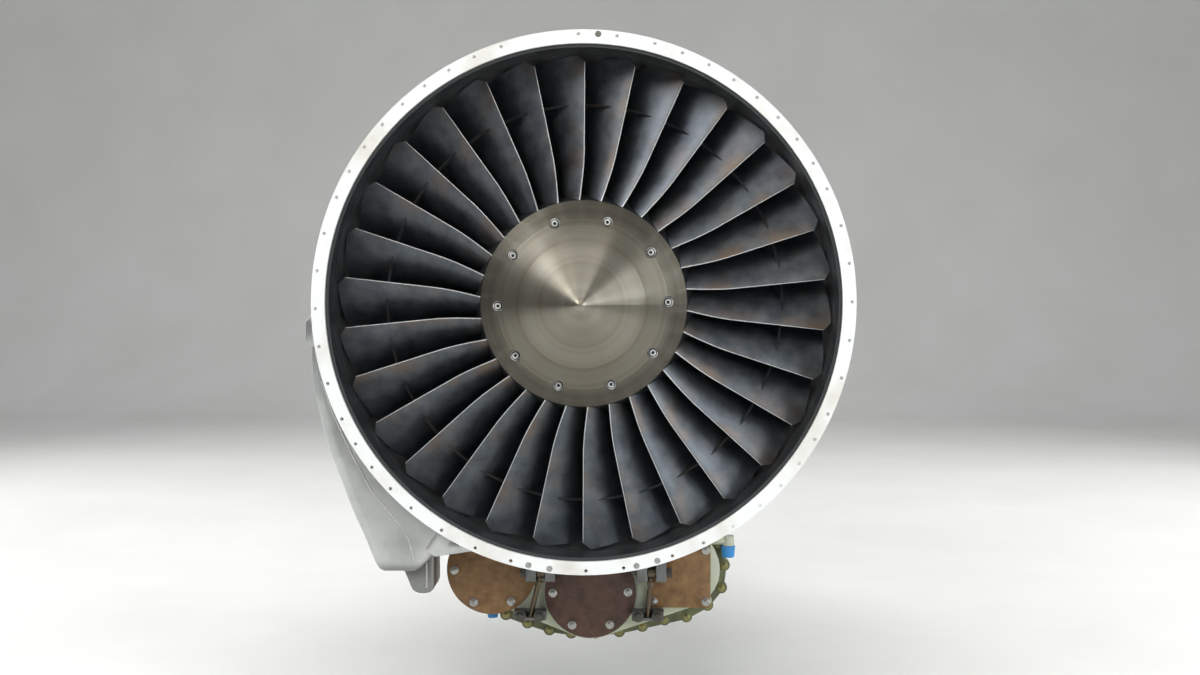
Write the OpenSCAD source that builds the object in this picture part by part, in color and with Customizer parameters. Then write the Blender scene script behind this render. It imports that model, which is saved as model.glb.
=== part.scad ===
// Geared-fan jet engine. The front flange's face is the XZ plane, +Y runs aft, +Z is up.
// Stations are distances aft of that face.
// Clock angles run clockwise from the top as seen from the front.

/* [Fan case] */
// Outer radius of the case flanges
flange_r = 383; // [380:0.5:388]
// Thickness of a case flange
flange_t = 8; // [6:0.5:10]
// Bore radius of the fan case, which holds the liner
case_bore_r = 364; // [362:0.5:366]
// Wall of the fan case
case_wall = 5; // [3:0.5:7]
// Length of the fan case, from face to face
case_len = 170; // [166:1:176]
// Wall of the fan liner
liner_wall = 4.5; // [3:0.1:5]
// Depth of the liner's front edge behind the flange face
liner_inset = 5; // [3:0.5:8]
// Radius of the inlet flange's bolt holes
flange_hole_r = 2.5; // [2:0.1:3]
// Radius of the inlet flange's bolt circle
flange_bolt_r = 377; // [376:0.25:378.5]

/* [Fan] */
// Number of fan blades
blade_count = 30; // [26:1:32]
// Running clearance between a blade tip and the liner
tip_gap = 1.2; // [0.8:0.1:2.5]
// Angle of the blade's chord to the engine axis at the tip
tip_stagger = 61; // [58:0.5:62]
// Angle of the blade's chord to the engine axis at the root
root_stagger = 23; // [18:1:30]
// Greatest thickness of a blade at its root
root_thick = 9; // [7:0.5:10]
// Greatest thickness of a blade at its tip
tip_thick = 3; // [2.4:0.2:4]
// Radius at which the blades' mid-span shrouds meet
shroud_r = 286; // [270:1:296]
// Thickness of a mid-span shroud
shroud_t = 5; // [4:0.5:7]
// Height of the bevel cut off the leading corner of each tip
tip_bevel = 8; // [4:0.5:12]
// Length of the spinner in front of the hub
spinner_len = 158; // [150:1:166]
// Wall of the spinner
spinner_wall = 4; // [3:0.5:6]
// Number of spinner bolts
spinner_bolts_n = 10; // [8:1:12]
// Radius of the spinner's bolt circle
spinner_bolt_r = 120; // [118:0.5:122]
// Radius of a spot-faced pocket round a spinner bolt
pocket_r = 8.4; // [7.6:0.2:9]
// Radius of a spinner bolt's shank
spinner_shank_r = 3; // [2.5:0.25:4]

/* [Reduction gear] */
// Gear module, pitch diameter over teeth
gear_module = 4; // [3.9:0.05:4.1]
// Teeth of the sun gear
sun_teeth = 25; // [25]
// Teeth of each planet gear
planet_teeth = 10; // [10]
// Number of planet gears
planets = 5; // [5]
// Width of the gear teeth
gear_width = 36; // [28:1:38]
// Thinning of every tooth for backlash
backlash = 0.4; // [0.3:0.05:0.6]
// Radius of a planet gear's pin
planet_pin_r = 9; // [7:0.5:10]

/* [Core] */
// Radius of the low-pressure shaft
lp_shaft_r = 20; // [18:0.5:22]
// Bore radius of the low-pressure shaft
lp_bore_r = 11; // [8:0.5:13]
// Wall of the turned and welded casings
casing_wall = 3; // [2:0.25:4]
// Running clearance of compressor and turbine tips
core_gap = 0.8; // [0.6:0.1:1.2]
// Running clearance on the radius of a journal
journal_gap = 0.05; // [0.03:0.01:0.09]
// Exit radius of the impeller
impeller_r = 118; // [110:1:122]
// Number of full impeller blades, each with a splitter blade after it
impeller_blades = 12; // [9:1:14]
// Number of fuel nozzles
fuel_nozzle_count = 12; // [8:1:16]
// Outer radius of the combustion plenum
plenum_r = 232; // [228:1:236]

/* [Accessories] */
// Station of the accessory gearbox's front face
gearbox_y = 150; // [146:1:154]
// Depth of the gearbox's front housing
gearbox_front = 46; // [40:1:52]
// Depth of the gearbox's rear housing
gearbox_rear = 92; // [80:1:104]
// Radius of a gearbox flange bolt
gearbox_bolt_r = 3; // [2.5:0.25:3.5]
// Front of the oil tank
tank_front = 24; // [20:1:34]
// Depth of the oil tank along the axis
tank_depth = 132; // [120:1:136]
// Radius of a gearbox hanger rod
rod_r = 4; // [3:0.25:5]

/* [Hidden] */
$fn = 96;
big_fn = 360;
seat = 0.3;    // gap left between parts that seat on each other
fit = 0.02;    // gap on the radius of a located fit

// Radii and stations that several parts share
liner_r = case_bore_r - seat - liner_wall;
fan_tip_r = liner_r - tip_gap;
case_r = case_bore_r + case_wall;
hub_front_y = 43;
hub_rear_y = 118;
hub_front_r = 148;
hub_rear_r = 172;
splitter_y = 150;
splitter_r = 196;
frame_y = case_len;
frame_end_y = 330;

// Turns the local Z axis to the engine axis. Local X stays, local Y points down.
module along_axis(y = 0) translate([0, y, 0]) rotate([-90, 0, 0]) children();

// Puts a child at a clock angle: its X is then radial, its Y clockwise and its Z aft.
module at_clock(clock, r = 0, y = 0) along_axis(y) rotate([0, 0, clock - 90]) translate([r, 0, 0])
    children();

// Bore as wide as the engine, cut from a part that hugs the cases
module case_cut(r, y, len) along_axis(y) cylinder(r = r, h = len, $fn = big_fn);

// Turned body from a list of [radius, station] points
module turned(profile) along_axis() rotate_extrude() polygon(profile);

function mix(a, b, t) = a + (b - a) * t;
function slope(r1, r2, y1, y2, y) = mix(r1, r2, (y - y1) / (y2 - y1));
function arc_points(cx, cy, r, a1, a2,
    n) = [for (i = [0:n]) [cx + r * cos(mix(a1, a2, i / n)), cy + r * sin(mix(a1, a2, i / n))]];
function reversed(list) = [for (i = [len(list) - 1:-1:0]) list[i]];

// Band between two outlines whose radii are given at the same stations
module band(outer, wall) turned(concat(outer, reversed([for (p = outer) [p[0] - wall, p[1]]])));

// Inlet flange holes, as runs of [first clock angle, step, count].
// The runs differ, so the inlet fits one way only.
flange_runs = [[-0.9, 8.2, 3], [21.7, 6.15, 8], [73.1, 8.2, 6], [120.2, 6.13, 4], [145.9, 7.25, 3],
    [171.2, 8.15, 2], [195.7, 8.15, 4], [226.2, 6.1, 4], [252.7, 8.15, 6], [299.6, 6.12, 8]];
flange_clocks = [for (run = flange_runs) for (i = [0:run[2] - 1]) run[0] + run[1] * i];
flange_screw_clocks = [3.3, 163.8, 168.4, 187.2, 191.8];

/* Fan rotor */
blade_pitch = 360 / blade_count;
hub_gap = seat;
function hub_r(y) = slope(hub_front_r, hub_rear_r, hub_front_y, hub_rear_y, y);
tip_chord_y = 46;
root_chord_y = 74;
tip_front_y = 55;
function chord_y(s) = mix(root_chord_y, tip_chord_y, pow(s, 0.8));
function front_y(s) = mix(hub_front_y + 1, tip_front_y, pow(s, 0.8));
function stagger(s) = mix(root_stagger, tip_stagger, pow(s, 0.75));
function blade_t(s) = mix(root_thick, tip_thick, pow(s, 0.6));
// How far the leading edge lies round the hub from a radial line
function lean(s) = -2.3 * pow(1 - min(1, s / 0.35), 2);
blade_t_stops = [0, 0.1, 0.23, 0.62, 1];
blade_s_stops = [0, 0.12, 0.33, 0.58, 0.8, 1];
function half_thick(t) = 2.6 * (sqrt(t) - t) * (1 - 0.45 * t) * 0.93 + 0.12 * t;

// A point of a blade at span s and chord share t, on the front side (+1) or the rear side (-1)
function blade_point(s, t, side) =
    let (y_len = chord_y(s), a = stagger(s), chord = y_len / cos(a),
         camber = mix(0.13, 0.03, s) * chord * 4 * t * (1 - t),
         off = camber + side * half_thick(t) * blade_t(s) / 2,
         y = front_y(s) + t * y_len - off * sin(a),
         u = -t * chord * sin(a) - off * cos(a),
         tip = fan_tip_r - tip_bevel * max(0, 1 - t / 0.1),
         r = mix(hub_r(y) + hub_gap, tip, s),
         round_angle = lean(s) + u / r * 180 / PI)
    [r * cos(round_angle), r * sin(round_angle), y];
function blade_ring(s) = concat(
    [for (t = blade_t_stops) blade_point(s, t, 1)],
    [for (i = [len(blade_t_stops) - 1:-1:1]) blade_point(s, blade_t_stops[i], -1)]);

// Skin over a stack of closed rings of equal length. Strips from side to side close both ends.
module loft(rings) {
    n = len(rings[0]);
    last = (len(rings) - 1) * n;
    strip = [for (i = [0:floor(n / 2) - 1])
        each [if (2 * i + 2 != n) [i, i + 1, n - 1 - i], if (i > 0) [i, n - 1 - i, n - i]]];
    polyhedron(
        points = [for (ring = rings) each ring],
        faces = concat(
            [for (k = [0:len(rings) - 2]) for (i = [0:n - 1])
                let (a = k * n + i, b = k * n + (i + 1) % n) each [[a, b, b + n], [a, b + n, a + n]]],
            [for (f = strip) [f[2], f[1], f[0]]],
            [for (f = strip) [last + f[0], last + f[1], last + f[2]]]));
}

shroud_s = (shroud_r - hub_r(80)) / (fan_tip_r - hub_r(80));
shroud_gap = 0.3;
shroud_w = 18;
shroud_chord = 0.42;

// Half of a mid-span shroud, from inside the blade to the plane where it meets the next blade's half
module shroud_wing(side) {
    middle = blade_point(shroud_s, shroud_chord, 0);
    reach = shroud_r * tan(blade_pitch / 2);
    rotate([0, 0, atan2(middle[1], middle[0]) - side * blade_pitch / 2])
        translate([shroud_r - shroud_t / 2, side > 0 ? shroud_gap / 2 : -reach,
            middle[2] - shroud_w / 2])
        cube([shroud_t, reach - shroud_gap / 2, shroud_w]);
}

module fan_blades() color("#6b6763") along_axis()
    for (i = [0:blade_count - 1]) rotate([0, 0, i * blade_pitch - 90 + 0.3]) union() {
        loft([for (s = blade_s_stops) blade_ring(s)]);
        shroud_wing(1);
        shroud_wing(-1);
    }

/* Front casings */
liner_front_y = liner_inset;
liner_rear_y = case_len - liner_inset;
containment_ribs = [44, 60, 76, 92, 108];
rib_w = 5;
rib_h = 5;
joint_bolt_n = 36;
joint_bolt_r = 377;
joint_hole_r = 3.2;
screw_head_r = 4.6;

// Holes or shanks set round a circle of the engine
module ring_of(n, r, y, len, bore, first = 0) for (i = [0:n - 1]) at_clock(first + i * 360 / n, r, y)
    cylinder(r = bore, h = len);

// Hexagon bolt with its nut, through a joint of given thickness. The head is on the front side.
module through_bolt(bore, grip) {
    shank = bore - 0.15;
    translate([0, 0, -0.65 * bore * 2 - seat / 3]) cylinder(r = bore * 1.75, h = 1.3 * bore, $fn = 6);
    translate([0, 0, -bore]) cylinder(r = shank, h = grip + 3.2 * bore);
    translate([0, 0, grip + seat / 3]) cylinder(r = bore * 1.75, h = 1.5 * bore, $fn = 6);
}

module fan_case() color("#c9ccce") difference() {
    turned([[case_bore_r, 0], [flange_r, 0], [flange_r, flange_t], [case_r + 3, flange_t],
        [case_r, flange_t + 3],
        for (y = containment_ribs) each [[case_r, y], [case_r + rib_h, y + 1],
            [case_r + rib_h, y + rib_w - 1], [case_r, y + rib_w]],
        [case_r, case_len - flange_t - 2], [case_r + 2, case_len - flange_t],
            [flange_r, case_len - flange_t],
        [flange_r, case_len], [case_bore_r, case_len]]);
    for (c = concat(flange_clocks, flange_screw_clocks))
        at_clock(c, flange_bolt_r, -1) cylinder(r = flange_hole_r, h = flange_t + 2);
    for (c = flange_screw_clocks) at_clock(c, flange_bolt_r, -0.01)
        cylinder(r1 = screw_head_r, r2 = flange_hole_r, h = screw_head_r - flange_hole_r);
    ring_of(joint_bolt_n, joint_bolt_r, case_len - flange_t - 1, flange_t + 2, joint_hole_r);
}

module fan_liner() color("#17181a")
    turned([[liner_r, liner_front_y], [liner_r + liner_wall, liner_front_y],
        [liner_r + liner_wall, liner_rear_y], [liner_r, liner_rear_y]]);

module case_bolts() color("#a9abad") {
    for (c = flange_screw_clocks) at_clock(c, flange_bolt_r) {
        translate([0, 0, 0.1]) cylinder(r1 = screw_head_r - 0.25, r2 = flange_hole_r - 0.15,
            h = screw_head_r - flange_hole_r);
        cylinder(r = flange_hole_r - 0.15, h = flange_t + 6);
        translate([0, 0, flange_t + 0.1]) cylinder(r = 4.6, h = 4, $fn = 6);
    }
    for (i = [0:joint_bolt_n - 1]) at_clock(i * 360 / joint_bolt_n, joint_bolt_r, case_len - flange_t)
        through_bolt(joint_hole_r, 2 * flange_t);
    for (i = [0:support_bolt_n - 1]) at_clock(i * 360 / support_bolt_n, support_bolt_r, support_y)
        through_bolt(joint_hole_r, 24);
}

// Outline of a stator vane or strut: chord c, thickness t, leading edge at the origin, turned by angle a
function vane_outline(c, t, camber, n = 5) = concat(
    [for (i = [0:n]) let (x = i / n) [camber * 4 * x * (1 - x) + t * 2 * (sqrt(x) - x) + 0.06 * t,
        c * x]],
    [for (i = [n:-1:1]) let (x = i / n) [camber * 4 * x * (1 - x) - t * 2 * (sqrt(x) - x) - 0.06 * t,
        c * x]]);

// One vane standing radially from r1 to r2, its chord running aft from station y at angle lean to the axis
module vane(clock, r1, r2, y, c, t, camber = 0, lean = 0, n = 5)
    at_clock(clock, r1, y) rotate([0, 90, 0]) linear_extrude(r2 - r1)
        rotate(90 + lean) polygon(vane_outline(c, t, camber, n));

// Fan frame: outer ring, flow splitter and gear support joined by hollow struts
frame_inner_r = liner_r;
frame_outer_r = frame_inner_r + 6;
strut_n = 8;
strut_y = 254;
strut_c = 58;
strut_t = 13;
splitter_outer_r = 205;
duct_in_rear_r = 212;
core_outer_rear_r = 172;
core_inner_front_r = 152;
core_inner_rear_r = 142;
hub_skin_front_y = hub_rear_y + 3;
hub_skin_front_r = hub_rear_r + 0.5;
support_y = 284;
support_bolt_n = 16;
support_bolt_r = 129;

function core_outer_r(y) = slope(splitter_r - 2, core_outer_rear_r, splitter_y + 10, frame_end_y, y);
function core_inner_r(y) = slope(core_inner_front_r + 6, core_inner_rear_r, 190, frame_end_y, y);

module fan_frame() color("#b9bcb8") difference() {
    union() {
        turned([[frame_inner_r, frame_y], [flange_r, frame_y], [flange_r, frame_y + flange_t],
            [frame_outer_r + 3, frame_y + flange_t], [frame_outer_r, frame_y + flange_t + 3],
            [frame_outer_r, strut_y - 8], [frame_outer_r + 5, strut_y - 4],
                [frame_outer_r + 5, strut_y + strut_c + 4], [frame_outer_r, strut_y + strut_c + 8],
            [frame_outer_r, frame_end_y - flange_t - 3], [frame_outer_r + 3, frame_end_y - flange_t],
            [frame_outer_r + 15, frame_end_y - flange_t], [frame_outer_r + 15, frame_end_y],
                [frame_inner_r, frame_end_y]]);
        turned([[splitter_r, splitter_y], [splitter_r + 1.2, splitter_y - 1],
            [splitter_outer_r, splitter_y + 26],
            [duct_in_rear_r, frame_end_y], [duct_in_rear_r - 8, frame_end_y],
                [duct_in_rear_r - 12, frame_end_y - 12],
            [core_outer_rear_r + 16, frame_end_y - 12], [core_outer_rear_r + 16, frame_end_y],
            [core_outer_rear_r, frame_end_y], [core_outer_r(splitter_y + 10), splitter_y + 10]]);
        turned([[hub_skin_front_r - 4, hub_skin_front_y], [hub_skin_front_r, hub_skin_front_y],
            [core_inner_r(190), 190],
            [core_inner_rear_r, frame_end_y], [core_inner_rear_r - 5, frame_end_y],
                [core_inner_rear_r - 5, support_y + 8],
            [118.5, support_y + 8], [118.5, support_y], [core_inner_rear_r - 3, support_y],
                [core_inner_r(190) - 5, 192]]);
        for (i = [0:strut_n - 1]) vane(i * 360 / strut_n, core_inner_r(strut_y) - 4, frame_inner_r + 3,
            strut_y, strut_c, strut_t);
    }
    ring_of(joint_bolt_n, joint_bolt_r, frame_y - 1, flange_t + 2, joint_hole_r);
    ring_of(support_bolt_n, support_bolt_r, support_y - 1, 10, joint_hole_r);
    for (i = [0:mount_bolts - 1]) for (side = [-1, 1]) mount_hole(side, i);
}

module bypass_vanes() color("#8d9092") intersection() {
    for (i = [0:bypass_vane_n - 1]) vane((i + 0.5) * 360 / bypass_vane_n, splitter_outer_r - 4,
        frame_inner_r + 2, bypass_vane_y, 46, 4, 4, -14, 4);
    turned([[splitter_outer_r + 2.2, bypass_vane_y - 6], [frame_inner_r - seat, bypass_vane_y - 6],
        [frame_inner_r - seat, bypass_vane_y + 56],
        [splitter_outer_r + 4.4, bypass_vane_y + 56]]);
}
bypass_vane_n = 44;
bypass_vane_y = 184;

module core_inlet_vanes() color("#8f8c86") {
    n = 36;
    y0 = 204;
    for (i = [0:n - 1]) vane((i + 0.5) * 360 / n, core_inner_r(y0) + seat, core_outer_r(y0 + 20) - seat,
        y0, 22, 2.4, 2, -10);
}

/* Side mounts on the fan frame */
mount_bolts = 4;
mount_y = strut_y + strut_c / 2;
mount_pin_r = 12;
mount_step = 44;
mount_base_x = frame_outer_r + 8;
module mount_hole(side, i) translate([side * (frame_outer_r - 1), mount_y + (i % 2 - 0.5) * mount_step,
    (floor(i / 2) - 0.5) * mount_step])
    rotate([0, side * 90, 0]) cylinder(r = 4.2, h = 40);

module mount_pads() color("#9fa3a6") for (turn = [0, 180]) rotate([0, turn, 0]) difference() {
    union() {
        difference() {
            translate([frame_outer_r - 10, mount_y - 36, -36]) cube([24, 72, 72]);
            case_cut(frame_outer_r + 5 + seat, mount_y - 40, 80);
        }
        translate([frame_outer_r + 12, mount_y, 0]) rotate([0, 90, 0])
            cylinder(r1 = 26, r2 = 22, h = 18);
    }
    translate([frame_outer_r + 8, mount_y, 0]) rotate([0, 90, 0]) cylinder(r = mount_pin_r, h = 40);
    for (i = [0:mount_bolts - 1]) mount_hole(1, i);
}

/* Reduction gear */
gear_y = 225;
sun_r = gear_module * sun_teeth / 2;
planet_r = gear_module * planet_teeth / 2;
ring_r = sun_r + 2 * planet_r;
planet_orbit = sun_r + planet_r;
pressure_angle = 25;
addendum = 0.8 * gear_module;
dedendum = gear_module;
gear_rim = 10;
shaft_r = 46;
housing_r = ring_r + dedendum + gear_rim + 8;
housing_wall = 5.5;
carrier_y = gear_y + gear_width + 7;

function involute_angle(r_base, r) = r <= r_base ? 0 : let (k = sqrt(r * r / (r_base * r_base) - 1))
    k * 180 / PI - atan(k);

// Half the angle of a tooth at radius r. An internal tooth is the space of the matching external one.
function half_tooth(r, pitch_r, teeth, thin) =
    let (base = pitch_r * cos(pressure_angle))
    90 / teeth - thin / 2 / pitch_r * 180 / PI + involute_angle(base, pitch_r) - involute_angle(base,
        r);

module gear_outline(teeth, tip, root, thin) {
    pitch_r = gear_module * teeth / 2;
    steps = 4;
    radii = [for (i = [0:steps]) mix(max(root, pitch_r * cos(pressure_angle)), tip, i / steps)];
    polygon([for (k = [0:teeth - 1]) each concat(
        [let (a = k * 360 / teeth - half_tooth(radii[0], pitch_r, teeth, thin)) [root * cos(a),
            root * sin(a)]],
        [for (r = radii) let (a = k * 360 / teeth - half_tooth(r, pitch_r, teeth, thin)) [r * cos(a),
            r * sin(a)]],
        [for (r = reversed(radii)) let (a = k * 360 / teeth + half_tooth(r, pitch_r, teeth,
            thin)) [r * cos(a), r * sin(a)]],
        [let (a = k * 360 / teeth + half_tooth(radii[0], pitch_r, teeth, thin)) [root * cos(a),
            root * sin(a)]])]);
}

module ring_gear() color("#8f9499") along_axis(gear_y) difference() {
    linear_extrude(gear_width) difference() {
        circle(r = ring_r + dedendum + gear_rim);
        rotate(180 / ring_teeth) gear_outline(ring_teeth, ring_r + dedendum, ring_r - addendum,
            -backlash);
    }
    for (i = [0:ring_studs - 1]) rotate(i * 360 / ring_studs)
        translate([ring_r + dedendum + gear_rim / 2, 0, -1]) cylinder(r = stud_r + fit, h = 16);
}
ring_teeth = sun_teeth + 2 * planet_teeth;
ring_studs = 15;
stud_r = 2.2;

module planet_gear(k) {
    orbit = k * 360 / planets;
    color("#a4a8ab") along_axis(gear_y) rotate(orbit) translate([planet_orbit, 0, 0])
        rotate(-orbit + (planet_orbit / planet_r) * orbit + 198) difference() {
            linear_extrude(gear_width) gear_outline(planet_teeth, planet_r + addendum,
                planet_r - dedendum, backlash);
            translate([0, 0, -1]) cylinder(r = planet_pin_r + journal_gap, h = gear_width + 2);
        }
}

module gear_carrier() color("#7f858a") difference() {
    union() {
        turned([[37, carrier_y], [planet_orbit + planet_pin_r + 12, carrier_y],
            [planet_orbit + planet_pin_r + 14, carrier_y + 14], [108, support_y + 16],
            [136.5, support_y + 16 + seat], [136.5, support_y + 24], [100, support_y + 24],
                [84, carrier_y + 14], [37, carrier_y + 14]]);
        for (k = [0:planets - 1]) at_clock(90 + k * 360 / planets, planet_orbit, gear_y - 1) {
            cylinder(r = planet_pin_r, h = gear_width + 11);
            translate([0, 0, gear_width + 3]) cylinder(r = planet_pin_r + 5, h = 6);
        }
    }
    ring_of(support_bolt_n, support_bolt_r, support_y + 14, 14, joint_hole_r);
}

/* Fan shaft and its bearings */
bearing_in_r = shaft_r + 4;
roller_r = 3;
bearing_out_r = bearing_in_r + 2 * roller_r + 0.2;
bearing_case_r = bearing_out_r + 6;
front_bearing_y = 128;
rear_bearing_y = 184;
bearing_w = 18;
rollers_n = 24;

module gear_housing() color("#a7aba8") difference() {
    turned([[bearing_case_r, 124], [bearing_case_r + 6, 124], [bearing_case_r + 6, gear_y - 24],
        [housing_r - 6, gear_y - 20],
        [housing_r + housing_wall, gear_y - 14], [housing_r + housing_wall, support_y + 8 + seat],
            [136.5, support_y + 8 + seat],
        [136.5, support_y + 16], [housing_r, support_y + 16], [housing_r, gear_y - 12],
            [housing_r - 8, gear_y - 15],
        [bearing_case_r, gear_y - 18]]);
    ring_of(support_bolt_n, support_bolt_r, support_y + 6, 12, joint_hole_r);
}

module bearing_ring(y, w, r1, r2) turned([[r1, y], [r2, y], [r2, y + w], [r1, y + w]]);

module fan_shaft() color("#8a8f94") union() {
    turned([[34, 44], [58, 44], [58, 49.5], [shaft_r, 50], [shaft_r, front_bearing_y - 6],
        [bearing_in_r, front_bearing_y - 6],
        [bearing_in_r, rear_bearing_y + bearing_w + 2], [shaft_r + 10, gear_y - 11],
            [ring_r + dedendum + gear_rim, gear_y - 8],
        [ring_r + dedendum + gear_rim, gear_y - seat], [ring_r - addendum, gear_y - seat],
        [ring_r - addendum - 1, gear_y - 2], [shaft_r, gear_y - 4], [34, gear_y - 14]]);
    ring_of(ring_studs, ring_r + dedendum + gear_rim / 2, gear_y - 6, 20, stud_r, 90);
}

module fan_bearing_rollers() color("#c5c9cc") for (y = [front_bearing_y, rear_bearing_y])
    for (i = [0:rollers_n - 1])
    at_clock(i * 360 / rollers_n, bearing_in_r + roller_r + 0.1, y + 3)
        cylinder(r = roller_r, h = bearing_w - 6, $fn = 24);

/* Spinner and fan disk */
spinner_tip_y = hub_front_y - spinner_len;
nose_r = 14;
nose_sweep = 42;
nose_set = 3.2;
// Outline of the spinner: a rounded nose, then three cones that grow less steep
spinner_out = concat(
    [for (i = [0:5]) let (a = i / 5 * nose_sweep) [nose_r * sin(a),
        spinner_tip_y + nose_set + nose_r * (1 - cos(a))]],
    [[88, spinner_tip_y + 79], [spinner_bolt_r, spinner_tip_y + 114.5], [hub_front_r, hub_front_y]]);
spinner_floor_y = 14;
spinner_seat_y = 22;
spinner_spigot_r = 133;
spinner_bolt_first = 16.7;
disk_front_y = spinner_seat_y + seat;

module spinner() color("#cfc9be") difference() {
    turned(concat(spinner_out, [
        [hub_front_r - spinner_wall, hub_front_y], [spinner_spigot_r + 2, spinner_seat_y + 6],
            [spinner_spigot_r, spinner_seat_y],
        [107, spinner_seat_y], [105, 6],
        [88 - spinner_wall, spinner_tip_y + 79 + spinner_wall],
            [0, spinner_tip_y + nose_set + 2 * spinner_wall]]));
    ring_of(spinner_bolts_n, spinner_bolt_r, spinner_tip_y, spinner_floor_y - spinner_tip_y, pocket_r,
        spinner_bolt_first);
    ring_of(spinner_bolts_n, spinner_bolt_r, spinner_floor_y - 2, 20, spinner_shank_r + 0.3,
        spinner_bolt_first);
}

module spinner_bolts() color("#d8dadb")
    for (i = [0:spinner_bolts_n - 1])
        at_clock(spinner_bolt_first + i * 360 / spinner_bolts_n, spinner_bolt_r, spinner_floor_y)
        difference() {
        union() {
            translate([0, 0, -1.4]) cylinder(r = pocket_r - 1, h = 1.3);
            translate([0, 0, -6.5]) cylinder(r = spinner_shank_r + 2, h = 6);
            translate([0, 0, -2]) cylinder(r = spinner_shank_r, h = 24);
        }
        translate([0, 0, -7.5]) cylinder(r = 2.6, h = 4.5, $fn = 6);
    }

module fan_disk() color("#8d9093") difference() {
    turned([[shaft_r + fit, 50 + seat], [72, 50 + seat], [82, 64], [100, 72], [107, 62],
        [107, disk_front_y],
        [spinner_spigot_r - seat, disk_front_y], [spinner_spigot_r - seat, 40],
            [hub_front_r - 6, hub_front_y + seat],
        [hub_front_r, hub_front_y + seat], [hub_rear_r, hub_rear_y],
        [hub_rear_r - 6, hub_rear_y], [148, 104], [130, 94], [100, 92], [82, 98], [72, 114],
            [shaft_r + fit, 114]]);
    ring_of(spinner_bolts_n, spinner_bolt_r, disk_front_y - 1, 18, spinner_shank_r + 0.05,
        spinner_bolt_first);
}

/* Low-pressure spool */
sun_end_y = gear_y + gear_width;
lp_end_y = 962;
lpc_y = 350;
lpc_pitch = 42;
lpc_rotor_c = 20;
lpc_vane_c = 15;
lpc_stages = 4;
lpc_end_y = lpc_y + lpc_stages * lpc_pitch;
lpc_blade_n = 26;
lpc_vane_n = 28;
function lpc_in(y) = slope(112, 128, lpc_y, lpc_end_y, y);
function lpc_out(y) = slope(164, 148, lpc_y, lpc_end_y, y);
lp_drum_bore = 96;

lpt_y = [806, 850, 894];
lpt_c = 18;
lpt_hub_r = 102;
lpt_blade_n = 36;
function lpt_out(y) = slope(136, 164, 780, 912, y);

module lp_shaft() color("#8a8f94") difference() {
    union() {
        along_axis(gear_y) linear_extrude(gear_width)
            gear_outline(sun_teeth, sun_r + addendum, sun_r - dedendum, backlash);
        turned([[0, sun_end_y], [sun_r - dedendum - 2, sun_end_y],
            [sun_r - dedendum - 6, sun_end_y + 2], [lp_shaft_r + 3, sun_end_y + 6.5],
            [lp_shaft_r + 3, 320],
            [lp_shaft_r, 324], [lp_shaft_r, lp_end_y - 40], [lp_shaft_r - 2, lp_end_y - 38],
                [lp_shaft_r - 2, lp_end_y], [0, lp_end_y]]);
    }
    along_axis(gear_y - 1) cylinder(r = lp_bore_r, h = lp_end_y - gear_y + 2);
}

// Row of blades standing on a hub, each separate, with its tip clear of the case
module blade_row(n, y, c, r_in, r_out, t, turn, camber) for (i = [0:n - 1])
    vane(i * 360 / n, r_in, r_out, y, c, t, camber, turn, 3);

module lp_compressor_rotor() color("#9b9d9e") {
    turned([[lp_shaft_r + fit, 368], [30, 368], [34, 376], [90, 386], [lp_drum_bore, lpc_y + 6],
        [lpc_in(lpc_y) , lpc_y], [lpc_in(lpc_end_y - 22), lpc_end_y - 22],
        [118, lpc_end_y - 18], [lp_drum_bore + 8, lpc_end_y - 22], [94, 400], [34, 388], [30, 400],
            [lp_shaft_r + fit, 400]]);
    for (k = [0:lpc_stages - 1]) let (y = lpc_y + 2 + k * lpc_pitch)
        blade_row(lpc_blade_n, y, lpc_rotor_c, lpc_in(y) - 0.6,
            lpc_out(y + lpc_rotor_c) - core_gap - 1, 2.4, -40, -2);
}

module lp_compressor_vanes() color("#8e9091") for (k = [0:lpc_stages - 1])
    let (y = lpc_y + 2 + k * lpc_pitch + 23)
    blade_row(lpc_vane_n, y, lpc_vane_c, lpc_in(y + lpc_vane_c) + core_gap,
        lpc_out(y + lpc_vane_c) - 0.5, 2.2, 24, 1.5);

module lp_compressor_case() color("#a9acaa") difference() {
    union() {
        turned([[lpc_out(frame_end_y + seat), frame_end_y + seat],
            [core_outer_rear_r + 15, frame_end_y + seat], [core_outer_rear_r + 15, frame_end_y + 8],
            [core_outer_rear_r + 3, frame_end_y + 8], [lpc_out(lpc_y) + casing_wall, lpc_y],
                [lpc_out(lpc_end_y) + casing_wall, lpc_end_y - 8],
            [lpc_out(lpc_end_y) + 16, lpc_end_y - 8], [lpc_out(lpc_end_y) + 16, lpc_end_y],
                [lpc_out(lpc_end_y), lpc_end_y]]);
        for (k = [1:lpc_stages - 1]) let (y = lpc_y + k * lpc_pitch - 3)
            turned([[lpc_out(y) + 1, y], [lpc_out(y) + casing_wall + 3, y],
            [lpc_out(y) + casing_wall + 3, y + 6], [lpc_out(y) + 1, y + 6]]);
    }
    ring_of(24, lpc_out(lpc_end_y) + 10, lpc_end_y - 9, 10, 2.6);
}

module lp_turbine_rotor() color("#7c7268") {
    turned([[lp_shaft_r + fit, 836], [34, 836], [38, 846], [84, 846], [88, 812],
        [lpt_hub_r - 6, lpt_y[0] - 2], [lpt_hub_r, lpt_y[0] - 2],
        [lpt_hub_r, lpt_y[2] + lpt_c + 2], [lpt_hub_r - 6, lpt_y[2] + lpt_c + 2], [88, lpt_y[2] + 8],
            [84, 862], [38, 862], [34, 884], [lp_shaft_r + fit, 884]]);
    for (y = lpt_y) blade_row(lpt_blade_n, y, lpt_c, lpt_hub_r + seat, lpt_out(y) - core_gap - 1, 3, 32,
        4);
}

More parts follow.
